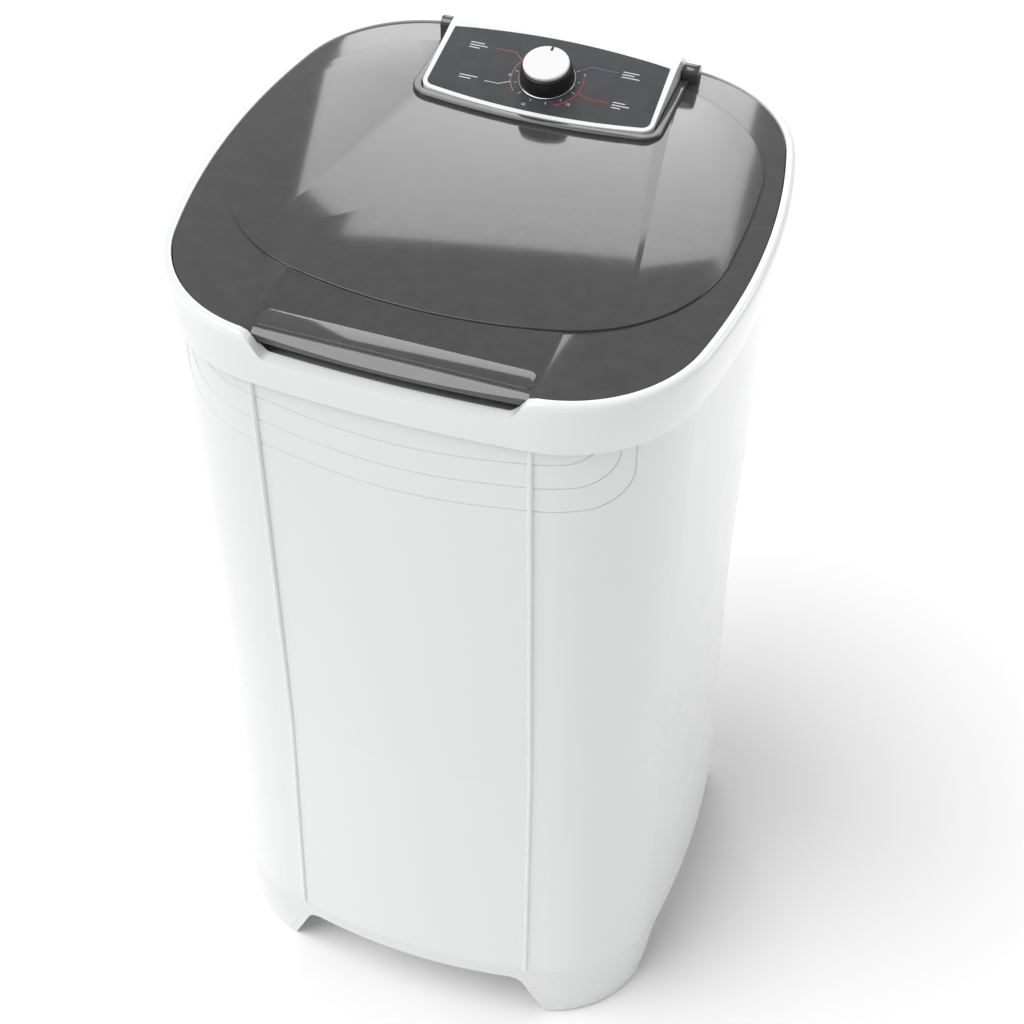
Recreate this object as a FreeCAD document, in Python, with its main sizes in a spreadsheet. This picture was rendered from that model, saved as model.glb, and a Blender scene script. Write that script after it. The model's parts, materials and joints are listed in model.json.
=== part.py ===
"""Single-tub top-loading wash machine, built as a parametric FreeCAD document.

Origin: on the floor, under the middle of the rim. +Z up, the user stands at -Y, the console is at +Y.
All lengths are millimetres and all angles degrees.
"""
import FreeCAD, Part
import math
import os
import re

import Sketcher
from FreeCAD import Placement, Rotation, Vector

SIZES = (
    # alias, value, meaning
    ("rim_top", 980, "top of the rim above the floor"),
    ("rim_band_bottom", 924, "lower edge of the rim's skirt"),
    ("rim_half_width", 268, "rim, middle to side"),
    ("rim_half_depth", 268, "rim, middle to front"),
    ("rim_corner", 140, "rim, corner radius"),
    ("rim_bulge_side", 700, "rim, radius of the bulged left and right sides"),
    ("rim_bulge_front", 1520, "rim, radius of the bulged front and back"),
    ("rim_draft", 3, "how far the skirt leans in at its lower edge"),
    ("rim_wall", 3.2, "rim skirt wall"),
    ("rim_round", 5, "rounding of the rim's upper outer edge"),
    ("recess_inset", 9.5, "rim's outer face to the lid recess"),
    ("ledge_width", 3, "ledge that carries the closed lid"),
    ("ledge_depth", 15, "rim's top to the ledge"),
    ("deck_depth", 30, "rim's top to the deck round the tub"),
    ("deck_thickness", 3, "deck plate"),
    ("scoop_half", 110, "finger scoop, half-length of its floor"),
    ("scoop_run", 16, "finger scoop, length of each sloped end"),
    ("scoop_depth", 22, "finger scoop below the rim's top"),
    ("scoop_round", 10, "finger scoop, radii of the sloped ends"),
    ("seam_height", 429, "seam between the two cabinet shells"),
    ("seam_half_width", 255, "cabinet at the seam, middle to side"),
    ("seam_half_depth", 255, "cabinet at the seam, middle to front"),
    ("cabinet_inset", 8, "rim's outer face to the cabinet under it"),
    ("body_corner", 121, "cabinet corner radius at and below the seam"),
    ("body_bulge_side", 820, "radius of the cabinet's bulged sides"),
    ("body_bulge_front", 650, "radius of the cabinet's bulged front and back"),
    ("wall", 3, "cabinet wall"),
    ("lap", 10, "height of the lap rings between shells"),
    ("lap_wall", 2.5, "lap ring wall"),
    ("fit_gap", 0.3, "clearance between lapped shells"),
    ("base_height", 97, "top of the base frame"),
    ("base_half_width", 266, "base frame, middle to side"),
    ("base_half_depth", 266, "base frame, middle to front"),
    ("foot_tuck", 4, "how far the feet curve in at the floor"),
    ("base_wall", 4, "base frame wall"),
    ("base_deck_height", 80, "underside of the base deck"),
    ("base_deck_thickness", 3, "base deck plate"),
    ("arch_height", 75, "arches between the feet"),
    ("arch_top_half", 129, "arch half-width at its top"),
    ("arch_foot_half", 160, "arch half-width at the floor"),
    ("arch_round", 20, "arch corner radius"),
    ("pad_lift", 2, "foot pad below the foot's sole"),
    ("pad_radius", 16, "foot pad"),
    ("pad_offset", 190, "foot pad from the middle, both ways"),
    ("pad_stem", 5, "foot pad stem radius"),
    ("bead_radius", 2.5, "vertical beads on the front"),
    ("bead_top_x", 127, "bead offset under the rim"),
    ("bead_seam_x", 132, "bead offset at the seam"),
    ("bead_base_x", 136.5, "bead offset at the base frame"),
    ("groove_width", 1.2, "hairline grooves under the rim"),
    ("groove_depth", 0.6, "hairline grooves, depth"),
    ("groove_drop", 36, "rim skirt to the first groove, at the middle"),
    ("groove_pitch", 28, "distance between grooves, at the middle"),
    ("groove_half", 187, "half-width of the first groove"),
    ("groove_step", 11, "how much wider each next groove is"),
    ("groove_corner", 38, "groove corner radius"),
    ("groove_sag", 690, "radius of a groove's sagging bottom"),
    ("groove_rise", 22, "rise of a groove from its middle to its corners"),
    ("tub_top_radius", 205, "tub, inside, at the top"),
    ("tub_bottom_radius", 190, "tub, inside, above the rounded floor"),
    ("tub_wall", 3, "tub wall"),
    ("tub_floor", 450, "tub floor above the ground"),
    ("tub_round", 28, "rounding between the tub's wall and floor"),
    ("tub_flange", 17, "tub flange beyond the tub's wall"),
    ("drain_offset", 100, "drain from the shaft, both ways"),
    ("drain_bore", 10.5, "drain spigot bore radius"),
    ("spigot_wall", 2.5, "drain spigot wall"),
    ("hose_wall", 3, "drain hose wall"),
    ("hose_bend", 100, "drain hose bend radius"),
    ("outlet_height", 150, "drain outlet above the ground"),
    ("port_radius", 26, "round recess in the back that the drain outlet stands in"),
    ("port_floor", 5, "thickness of the recess's floor"),
    ("boss_offset", 60, "mechanism bosses from the shaft, both ways"),
    ("boss_radius", 9, "mechanism bosses"),
    ("plate_top", 415, "mechanism plate, upper face"),
    ("plate_thickness", 3, "mechanism plate"),
    ("shaft_radius", 8, "agitator shaft"),
    ("shaft_bottom", 243, "lower end of the agitator shaft"),
    ("running_gap", 0.04, "radial clearance of a shaft in its bearing"),
    ("bearing_radius", 17.5, "agitator bearings, outside"),
    ("bearing_height", 11, "agitator bearings"),
    ("agitator_radius", 120, "agitator disc"),
    ("agitator_height", 86, "agitator disc and cone"),
    ("agitator_gap", 6, "agitator above the tub floor"),
    ("fin_height", 42, "agitator fins above the disc"),
    ("fin_thickness", 7, "agitator fins"),
    ("belt_height", 267, "middle of the belt above the ground"),
    ("belt_width", 10, "belt"),
    ("belt_thickness", 4, "belt"),
    ("belt_gap", 0.3, "belt to pulley groove"),
    ("driven_groove", 104, "driven pulley, groove radius"),
    ("motor_groove", 16, "motor pulley, groove radius"),
    ("motor_x", -120, "motor axis"),
    ("motor_y", 120, "motor axis"),
    ("motor_radius", 62, "motor, outside"),
    ("motor_bottom", 290, "motor, lower face"),
    ("motor_height", 110, "motor, face to face"),
    ("motor_shaft_radius", 6, "motor shaft"),
    ("stator_height", 66, "motor stator stack"),
    ("rotor_radius", 37.5, "motor rotor"),
    ("air_gap", 0.5, "motor air gap"),
    ("lid_gap", 1.2, "lid to recess, all round"),
    ("lid_drop", 1.5, "rim's top to the lid's edge"),
    ("lid_thickness", 3, "lid panel"),
    ("lid_skirt", 2.5, "lid's down-turned edge"),
    ("plateau_rise", 2.5, "raised inner panel of the lid"),
    ("plateau_inset", 32, "rim's side to the raised panel"),
    ("plateau_setback", 60, "how much shallower the raised panel is than the rim, half-depth"),
    ("plateau_corner", 150, "raised panel, corner radius"),
    ("plateau_bulge_side", 900, "radius of the raised panel's sides"),
    ("plateau_bulge_front", 480, "radius of the raised panel's front"),
    ("plateau_shift", 25, "raised panel's middle behind the rim's middle"),
    ("grip_half", 123, "grip pad and front lip, half-length"),
    ("grip_depth", 22, "grip pad, front to back"),
    ("grip_rise", 0.8, "grip pad above the lid"),
    ("lip_run", 13, "front lip, front to back"),
    ("lip_drop", 8, "front lip, fall"),
    ("collar_gap", 1.3, "lid collar to console"),
    ("collar_wall", 8, "lid collar wall"),
    ("collar_rise", 3.5, "lid collar above the raised panel"),
    ("hinge_y", 236, "lid hinge axis"),
    ("hinge_rise", 8, "lid hinge axis above the rim's top"),
    ("hinge_pin", 3, "hinge pin radius"),
    ("ear_radius", 8, "hinge ear barrel"),
    ("ear_width", 16, "hinge ear, along the pin"),
    ("console_half", 116.5, "console, middle to side"),
    ("console_front", 127, "console front corners"),
    ("console_apex", 17, "console front, corners to the bowed front's apex"),
    ("console_bow", 650, "radius of the console's bowed front"),
    ("console_round", 12, "console front corner radius"),
    ("console_wall", 2.5, "console housing wall"),
    ("console_crest_y", 231, "rear end of the console's top"),
    ("console_crest_rise", 26, "console's top above the rim"),
    ("console_back_rise", 3, "console's rear edge above the rim"),
    ("fascia_front_y", 131, "fascia, front corners"),
    ("fascia_front_rise", 7, "fascia front corners above the rim"),
    ("fascia_back_y", 210, "fascia, rear corners"),
    ("fascia_back_rise", 24, "fascia rear corners above the rim"),
    ("fascia_front_half", 112.5, "fascia half-width at the front"),
    ("fascia_back_half", 110.5, "fascia half-width at the rear"),
    ("fascia_thickness", 1.2, "fascia plate"),
    ("fascia_sink", 1.6, "depth of the fascia's seat"),
    ("knob_y", 166, "knob axis on the fascia"),
    ("knob_radius", 27, "knob skirt at its foot"),
    ("knob_cap_radius", 22.5, "knob cap"),
    ("knob_height", 22, "knob, fascia to cap"),
    ("knob_gap", 0.6, "knob above the fascia"),
    ("timer_shaft_radius", 3, "timer shaft"),
    ("timer_side", 56, "timer body, square side"),
    ("timer_depth", 26, "timer body, depth"),
    ("cord_radius", 4, "cord that the gland takes"),
    ("gland_height", 200, "cable gland above the ground"),
    ("harness_radius", 4, "wire harness"),
)

FOOT_CURVE = ((0.0, 0.0), (0.4, 0.65), (0.75, 0.93), (1.0, 1.0))  # share of height, share of tuck undone
CORNERS = {"front_left": (-1, -1), "front_right": (1, -1), "back_left": (-1, 1), "back_right": (1, 1)}
FRONT = Rotation(Vector(1, 0, 0), 90)  # sketch X to +X, sketch Y to +Z, normal to -Y
SIDE = Rotation(Vector(0, 1, 0), Vector(0, 0, 1), Vector(1, 0, 0), "ZXY")  # sketch X to +Y, sketch Y to +Z
ALONG = {"X": Rotation(Vector(0, 1, 0), 90), "Y": Rotation(Vector(1, 0, 0), -90), "Z": Rotation()}

doc = FreeCAD.newDocument("WashMachine")
sheet = doc.addObject("Spreadsheet::Sheet", "dims")
for row, (alias, size, meaning) in enumerate(SIZES, start=1):
    sheet.set(f"A{row}", meaning)
    sheet.set(f"B{row}", str(size))
    sheet.setAlias(f"B{row}", alias)
doc.recompute()

ALIAS = re.compile(r"\b(" + "|".join(alias for alias, _size, _meaning in SIZES) + r")\b")
nodes = {}


# ---------------------------------------------------------------- expressions and placement
def ref(expression):
    """Turn a rule written with the sheet's aliases into a document expression."""
    return ALIAS.sub(r"dims.\1", str(expression))


def value(expression):
    """Number that a rule gives with the sheet's present values."""
    result = sheet.evalExpression(ref(expression))
    return float(getattr(result, "Value", result))


def bind(item, **rules):
    """Bind properties of an object to rules. Double underscores stand for dots."""
    for name, rule in rules.items():
        item.setExpression(name.replace("__", "."), ref(rule))
    return item


def place(item, x="0", y="0", z="0", rotation=Rotation()):
    """Put an object at a bound point, turned by a fixed rotation."""
    item.Placement = Placement(Vector(value(x), value(y), value(z)), rotation)
    return bind(item, Placement__Base__x=x, Placement__Base__y=y, Placement__Base__z=z)


def finish(name, item):
    """Register an object as the sub-part called name."""
    item.Label = name
    nodes[name] = item
    return item


# ---------------------------------------------------------------- primitives and booleans
def cylinder(name, radius, height, x="0", y="0", z="0", axis="Z"):
    item = doc.addObject("Part::Cylinder", name)
    bind(item, Radius=radius, Height=height)
    return place(item, x, y, z, ALONG[axis])


def box(name, x, y, z, length, width, height):
    item = doc.addObject("Part::Box", name)
    bind(item, Length=length, Width=width, Height=height)
    return place(item, x, y, z)


def cut(name, base, *tools):
    item = doc.addObject("Part::Cut", name)
    item.Base = base
    item.Tool = tools[0] if len(tools) == 1 else fuse(name + "_tools", *tools)
    return item


def fuse(name, *shapes):
    item = doc.addObject("Part::MultiFuse", name)
    item.Shapes = list(shapes)
    return item


def common(name, *shapes):
    item = doc.addObject("Part::MultiCommon", name)
    item.Shapes = list(shapes)
    return item


def group(name, shapes):
    item = doc.addObject("Part::Compound", name)
    item.Links = list(shapes)
    return item


def loft(name, sections):
    item = doc.addObject("Part::Loft", name)
    item.Sections = list(sections)
    item.Solid = True
    item.Ruled = True
    return item


def extrude(name, sketch, direction, forward, backward="0"):
    """Extrude a free sketch along a direction, both ways if asked."""
    item = doc.addObject("Part::Extrusion", name)
    item.Base = sketch
    item.DirMode = "Custom"
    item.Dir = direction
    item.Solid = True
    return bind(item, LengthFwd=forward, LengthRev=backward)


# ---------------------------------------------------------------- sketches
def fix_point(sketch, geometry, point, x, y):
    """Hold a sketch point at bound coordinates."""
    for kind, rule in (("DistanceX", x), ("DistanceY", y)):
        index = sketch.addConstraint(Sketcher.Constraint(kind, -1, 1, geometry, point, value(rule)))
        sketch.setExpression(f"Constraints[{index}]", ref(rule))


def fix_radius(sketch, geometry, rule):
    index = sketch.addConstraint(Sketcher.Constraint("Radius", geometry, value(rule)))
    sketch.setExpression(f"Constraints[{index}]", ref(rule))


def draw_circle(sketch, radius, x="0", y="0"):
    centre = Vector(value(x), value(y), 0)
    index = sketch.addGeometry(Part.Circle(centre, Vector(0, 0, 1), value(radius)), False)
    fix_point(sketch, index, 3, x, y)
    fix_radius(sketch, index, radius)


def draw_polygon(sketch, corners):
    """Closed polygon. Each corner is (x rule, y rule) or (x rule, y rule, radius rule)."""
    count = len(corners)
    sharp = [Vector(value(c[0]), value(c[1]), 0) for c in corners]
    rounds = [value(c[2]) if len(c) > 2 else 0.0 for c in corners]
    arrive, leave, arcs = [], [], []
    for i, corner in enumerate(sharp):
        before = (sharp[i - 1] - corner).normalize()
        after = (sharp[(i + 1) % count] - corner).normalize()
        if not rounds[i]:
            arrive.append(corner)
            leave.append(corner)
            arcs.append(None)
            continue
        half = before.getAngle(after) / 2
        reach = rounds[i] / math.tan(half)
        arrive.append(corner + before * reach)
        leave.append(corner + after * reach)
        centre = corner + (before + after).normalize() * (rounds[i] / math.sin(half))
        middle = centre + (corner - centre).normalize() * rounds[i]
        arcs.append(Part.Arc(arrive[i], middle, leave[i]))
    guides = [
        sketch.addGeometry(Part.LineSegment(sharp[i], sharp[(i + 1) % count]), True) for i in range(count)
    ]
    for i, corner in enumerate(corners):
        sketch.addConstraint(Sketcher.Constraint("Coincident", guides[i - 1], 2, guides[i], 1))
        fix_point(sketch, guides[i], 1, corner[0], corner[1])
    lines = [
        sketch.addGeometry(Part.LineSegment(leave[i], arrive[(i + 1) % count]), False) for i in range(count)
    ]
    for i, corner in enumerate(corners):
        last, line = lines[i - 1], lines[i]
        if arcs[i] is None:
            sketch.addConstraint(Sketcher.Constraint("Coincident", line, 1, guides[i], 1))
            sketch.addConstraint(Sketcher.Constraint("Coincident", last, 2, guides[i], 1))
            continue
        arc = sketch.addGeometry(arcs[i], False)
        clockwise = (sharp[i] - sharp[i - 1]).cross(leave[i] - sharp[i]).z < 0
        first, second = (2, 1) if clockwise else (1, 2)
        sketch.addConstraint(Sketcher.Constraint("PointOnObject", line, 1, guides[i]))
        sketch.addConstraint(Sketcher.Constraint("PointOnObject", last, 2, guides[i - 1]))
        sketch.addConstraint(Sketcher.Constraint("Tangent", last, 2, arc, first))
        sketch.addConstraint(Sketcher.Constraint("Tangent", arc, second, line, 1))
        fix_radius(sketch, arc, corner[2])


def free_sketch(name, x="0", y="0", z="0", rotation=Rotation()):
    return place(doc.addObject("Sketcher::SketchObject", name), x, y, z, rotation)


def corner_centre(half_width, half_depth, corner, bulge_side, bulge_front):
    """Centre of the corner arc that is tangent to the bulged side and the bulged front."""
    side = Vector(half_width - bulge_side, 0, 0)
    front = Vector(0, half_depth - bulge_front, 0)
    near, far = bulge_side - corner, bulge_front - corner
    span = front - side
    along = (near**2 - far**2 + span.Length**2) / (2 * span.Length)
    across = math.sqrt(near**2 - along**2)
    axis = span.normalize()
    return max(
        (side + axis * along + Vector(-axis.y, axis.x, 0) * (across * sign) for sign in (1, -1)),
        key=lambda point: point.x + point.y,
    )


def outline(name, family, z, inset="0"):
    """Bulged rounded square: eight tangent arcs, kept parallel to the family's outline by the inset."""
    half_width, half_depth, corner, bulge_side, bulge_front = (f"({rule}) - ({inset})" for rule in family)
    a, b, rc, rx, ry = (value(r) for r in (half_width, half_depth, corner, bulge_side, bulge_front))
    centre = corner_centre(a, b, rc, rx, ry)
    low = math.atan2(centre.y, centre.x - (a - rx))
    high = math.atan2(centre.y - (b - ry), centre.x)
    turns = (  # centre, radius, first angle, last angle
        (Vector(a - rx, 0, 0), rx, -low, low),
        (centre, rc, low, high),
        (Vector(0, b - ry, 0), ry, high, math.pi - high),
        (Vector(-centre.x, centre.y, 0), rc, math.pi - high, math.pi - low),
        (Vector(rx - a, 0, 0), rx, math.pi - low, math.pi + low),
        (-centre, rc, math.pi + low, math.pi + high),
        (Vector(0, ry - b, 0), ry, math.pi + high, 2 * math.pi - high),
        (Vector(centre.x, -centre.y, 0), rc, 2 * math.pi - high, 2 * math.pi - low),
    )
    sketch = free_sketch(name, z=z)
    for middle, radius, first, last in turns:
        sketch.addGeometry(Part.ArcOfCircle(Part.Circle(middle, Vector(0, 0, 1), radius), first, last), False)
    for i in range(len(turns)):
        sketch.addConstraint(Sketcher.Constraint("Tangent", i, 2, (i + 1) % len(turns), 1))
    for i, radius in enumerate((bulge_side, corner, bulge_front, corner) * 2):
        fix_radius(sketch, i, radius)
    fix_point(sketch, 0, 3, f"{half_width} - ({bulge_side})", "0")
    fix_point(sketch, 2, 3, "0", f"{half_depth} - ({bulge_front})")
    fix_point(sketch, 4, 3, f"{bulge_side} - ({half_width})", "0")
    fix_point(sketch, 6, 3, "0", f"{bulge_front} - ({half_depth})")
    return sketch


RIM = ("rim_half_width", "rim_half_depth", "rim_corner", "rim_bulge_side", "rim_bulge_front")
SEAM = ("seam_half_width", "seam_half_depth", "body_corner", "body_bulge_side", "body_bulge_front")
BASE = ("base_half_width", "base_half_depth", "body_corner", "body_bulge_side", "body_bulge_front")
PLATEAU = ("rim_half_width - plateau_inset", "rim_half_depth - plateau_setback", "plateau_corner",
           "plateau_bulge_side", "plateau_bulge_front")


def prism(name, family, low, high, inset="0"):
    """Straight block with a parallel outline, from one height to another."""
    return extrude(name, outline(name + "_plan", family, low, inset), Vector(0, 0, 1), f"({high}) - ({low})")


def ring(name, family, low, high, outer_inset, inner_inset):
    return cut(
        name,
        prism(name + "_out", family, low, high, outer_inset),
        prism(name + "_in", family, f"({low}) - 1", f"({high}) + 1", inner_inset),
    )


# ---------------------------------------------------------------- bodies of features
def new_body(name, x="0", y="0", z="0", rotation=Rotation()):
    body = doc.addObject("PartDesign::Body", name + "_body")
    place(body, x, y, z, rotation)
    return finish(name, body)


def body_sketch(body, name, role, offset="0"):
    """Sketch on one of the body's own origin planes."""
    sketch = body.newObject("Sketcher::SketchObject", name)
    plane = next(item for item in body.Origin.OriginFeatures if item.Role == role)
    sketch.AttachmentSupport = [(plane, "")]
    sketch.MapMode = "FlatFace"
    return bind(sketch, AttachmentOffset__Base__z=offset)


def revolve(body, name, corners):
    """Revolve a closed profile of (radius rule, height rule) about the body's own Z axis."""
    sketch = body_sketch(body, name + "_profile", "XZ_Plane")
    draw_polygon(sketch, corners)
    feature = body.newObject("PartDesign::Revolution", name)
    feature.Profile = sketch
    feature.ReferenceAxis = (sketch, ["V_Axis"])
    feature.Angle = 360
    body.Tip = feature
    return feature


def pad(body, name, length, offset="0", polygon=None, circles=(), role="XY_Plane"):
    """Pad a sketch of one polygon or of circles (radius, x, y)."""
    sketch = body_sketch(body, name + "_sketch", role, offset)
    if polygon:
        draw_polygon(sketch, polygon)
    for radius, x, y in circles:
        draw_circle(sketch, radius, x, y)
    feature = body.newObject("PartDesign::Pad", name)
    feature.Profile = sketch
    bind(feature, Length=length)
    body.Tip = feature
    return feature


def drill(body, name, circles, low, depth):
    """Pocket round holes upwards from a height, through the given depth."""
    sketch = body_sketch(body, name + "_sketch", "XY_Plane", low)
    for radius, x, y in circles:
        draw_circle(sketch, radius, x, y)
    feature = body.newObject("PartDesign::Pocket", name)
    feature.Profile = sketch
    feature.Reversed = True
    bind(feature, Length=depth)
    body.Tip = feature
    return feature


def polar(body, name, original, count):
    """Repeat a feature round the body's Z axis."""
    pattern = body.newObject("PartDesign::PolarPattern", name)
    pattern.Originals = [original]
    axis = next(item for item in body.Origin.OriginFeatures if item.Role == "Z_Axis")
    pattern.Axis = (axis, [""])
    pattern.Angle = 360
    pattern.Occurrences = count
    body.Tip = pattern
    return pattern


def rectangle(x_low, x_high, y_low, y_high):
    return ((x_low, y_low), (x_high, y_low), (x_high, y_high), (x_low, y_high))


def four_ways(radius, offset):
    """Four equal circles at plus and minus the offset, both ways."""
    return [(radius, f"{sx} * ({offset})", f"{sy} * ({offset})") for sx, sy in CORNERS.values()]


# ---------------------------------------------------------------- cabinet: base, shells, beads, grooves
def build_base():
    levels = [
        (
            f"pad_lift + ({share}) * (base_height - pad_lift)",
            tuple(
                rule if axis > 1 else f"{rule} - foot_tuck * (1 - ({undone}))"
                for axis, rule in enumerate(BASE)
            ),
        )
        for share, undone in FOOT_CURVE
    ]
    outer = loft("base_outer", [outline(f"base_out{i}", shape, z) for i, (z, shape) in enumerate(levels)])
    inner_levels = list(levels)
    inner_levels[0] = (f"{levels[0][0]} - 1", levels[0][1])
    inner_levels[-1] = (f"{levels[-1][0]} + 1", levels[-1][1])
    inner = loft(
        "base_inner",
        [outline(f"base_in{i}", shape, z, "base_wall") for i, (z, shape) in enumerate(inner_levels)],
    )
    shell = cut("base_shell", outer, inner)
    deck = prism("base_deck", BASE, "base_deck_height", "base_deck_height + base_deck_thickness", "3.5")
    sole = prism("base_sole", levels[0][1], "pad_lift", "pad_lift + base_wall", "1")
    seat = ring("base_seat", BASE, "base_height - lap", "base_height", "1", "wall + fit_gap + lap_wall")
    lap = ring(
        "base_lap",
        BASE,
        "base_height - 1",
        "base_height + lap",
        "wall + fit_gap + 0.4",
        "wall + fit_gap + lap_wall",
    )
    arch = (
        ("-arch_foot_half", "-1"),
        ("arch_foot_half", "-1"),
        ("arch_top_half", "arch_height", "arch_round"),
        ("-arch_top_half", "arch_height", "arch_round"),
    )
    tunnels = []
    for name, rotation, direction, reach in (
        ("arch_along_y", FRONT, Vector(0, 1, 0), "base_half_depth + 20"),
        ("arch_along_x", SIDE, Vector(1, 0, 0), "base_half_width + 20"),
    ):
        sketch = free_sketch(name + "_sketch", rotation=rotation)
        draw_polygon(sketch, arch)
        tunnels.append(extrude(name, sketch, direction, reach, reach))
    vents = free_sketch("base_vents_sketch", z="base_deck_height - 1")
    for i in range(-3, 4):
        draw_polygon(vents, rectangle(f"{i} * 24 - 5", f"{i} * 24 + 5", "-70", "60"))
    vents = extrude("base_vents", vents, Vector(0, 0, 1), "base_deck_thickness + 2")
    stems = [
        cylinder(f"pad_hole_{key}", "pad_stem", "base_wall + 4", f"{sx} * pad_offset", f"{sy} * pad_offset", "0")
        for key, (sx, sy) in CORNERS.items()
    ]
    finish("base_frame", cut("base", fuse("base_solid", shell, deck, sole, seat, lap), *tunnels, vents, *stems))


def build_foot_pads():
    for key, (sx, sy) in CORNERS.items():
        body = new_body(f"foot_pad_{key}", f"{sx} * pad_offset", f"{sy} * pad_offset")
        revolve(
            body,
            f"pad_{key}",
            (
                ("0", "0"),
                ("pad_radius - 1", "0"),
                ("pad_radius", "pad_lift"),
                ("pad_stem", "pad_lift"),
                ("pad_stem", "pad_lift + base_wall + 2"),
                ("0", "pad_lift + base_wall + 2"),
            ),
        )


def front_face(x, half_depth, bulge):
    """Rule for the y of the bulged front at a given x."""
    return f"-(({half_depth}) - ({bulge}) + sqrt(pow({bulge}; 2) - pow({x}; 2)))"


def bead(name, side, low, low_x, low_y, high, high_x, high_y):
    """Half-round bead: a rod whose axis runs along the wall's outer face."""
    ends = []
    for tag, z, x, y in (("low", low, low_x, low_y), ("high", high, high_x, high_y)):
        sketch = free_sketch(f"{name}_{tag}", x=f"{side} * ({x})", y=y, z=z)
        draw_circle(sketch, "bead_radius")
        ends.append(sketch)
    return loft(name, ends)


UPPER = tuple(
    f"{rule} - cabinet_inset" for rule in RIM
)
UPPER_TOP = "rim_top - deck_depth - deck_thickness"


def build_cabinet():
    lower_out = loft(
        "lower_out", [outline("lower_out0", BASE, "base_height"), outline("lower_out1", SEAM, "seam_height")]
    )
    lower_in = loft(
        "lower_in",
        [
            outline("lower_in0", BASE, "base_height - 1", "wall"),
            outline("lower_in1", SEAM, "seam_height + 1", "wall"),
        ],
    )
    seat = ring("lower_seat", SEAM, "seam_height - lap", "seam_height", "1", "wall + fit_gap + lap_wall")
    lap = ring(
        "lower_lap",
        SEAM,
        "seam_height - 1",
        "seam_height + lap",
        "wall + fit_gap + 0.4",
        "wall + fit_gap + lap_wall",
    )
    beads = [
        bead(
            f"lower_bead_{side + 2}",
            side,
            "base_height",
            "bead_base_x",
            front_face("bead_base_x", "base_half_depth", "body_bulge_front"),
            "seam_height",
            "bead_seam_x",
            front_face("bead_seam_x", "seam_half_depth", "body_bulge_front"),
        )
        for side in (-1, 1)
    ]
    bosses = []
    for name, radius, x, z in (
        ("outlet_boss", "port_radius + wall", "drain_offset", "outlet_height"),
        ("gland_boss", "20", "-drain_offset", "gland_height"),
    ):
        rod = cylinder(name + "_rod", radius, "60", x, BOSS_FACE, z, "Y")
        bosses.append(common(name, rod, lower_out))
    holes = [
        cylinder("outlet_hole", OUTLET_NECK, "80", "drain_offset", "base_half_depth - 60",
                 "outlet_height", "Y"),
        cylinder("outlet_port", "port_radius", "60", "drain_offset", f"{BOSS_FACE} + port_floor",
                 "outlet_height", "Y"),
        cylinder("gland_hole", "cord_radius + 4", "80", "-drain_offset", "base_half_depth - 60",
                 "gland_height", "Y"),
    ]
    shell = cut("lower_shell", lower_out, lower_in)
    finish("cabinet_lower", cut("lower", fuse("lower_solid", shell, seat, lap, *beads, *bosses), *holes))

    upper_out = loft(
        "upper_out", [outline("upper_out0", SEAM, "seam_height"), outline("upper_out1", UPPER, UPPER_TOP)]
    )
    upper_in = loft(
        "upper_in",
        [
            outline("upper_in0", SEAM, "seam_height - 1", "wall"),
            outline("upper_in1", UPPER, f"{UPPER_TOP} + 1", "wall"),
        ],
    )
    skin_in = loft(
        "skin_in",
        [
            outline("skin_in0", SEAM, "seam_height - 1", "groove_depth"),
            outline("skin_in1", UPPER, f"{UPPER_TOP} + 1", "groove_depth"),
        ],
    )
    grooves = []
    for i in range(3):
        loops = []
        for tag, grow in (("out", "0"), ("in", "groove_width")):
            half = f"groove_half + {i} * groove_step - ({grow})"
            low = f"rim_band_bottom - groove_drop - {i} * groove_pitch + ({grow})"
            sketch = free_sketch(f"groove{i}_{tag}_sketch", rotation=FRONT)
            draw_polygon(
                sketch,
                (
                    (f"-({half})", UPPER_TOP),
                    (f"-({half})", f"{low} + groove_rise", f"groove_corner - ({grow})"),
                    ("0", low, "groove_sag"),
                    (half, f"{low} + groove_rise", f"groove_corner - ({grow})"),
                    (half, UPPER_TOP),
                ),
            )
            reach = "rim_half_depth + 20" if tag == "out" else "rim_half_depth + 30"
            loops.append(extrude(f"groove{i}_{tag}", sketch, Vector(0, -1, 0), reach))
        grooves.append(cut(f"groove{i}", *loops))
    hairlines = cut("hairlines", common("groove_blocks", fuse("groove_all", *grooves), upper_out), skin_in)
    upper_beads = [
        bead(
            f"upper_bead_{side + 2}",
            side,
            "seam_height",
            "bead_seam_x",
            front_face("bead_seam_x", "seam_half_depth", "body_bulge_front"),
            "rim_band_bottom - fit_gap",
            "bead_top_x",
            front_face("bead_top_x", "rim_half_depth - cabinet_inset", "rim_bulge_front - cabinet_inset"),
        )
        for side in (-1, 1)
    ]
    shell = cut("upper_shell", upper_out, upper_in, hairlines)
    finish("cabinet_upper", fuse("upper", shell, *upper_beads))


BOSS_FACE = "base_half_depth - 26"
OUTLET_NECK = "drain_bore + spigot_wall + 1.5"


# ---------------------------------------------------------------- top frame
DECK_TOP = "rim_top - deck_depth"
LEDGE = "rim_top - ledge_depth"


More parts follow.
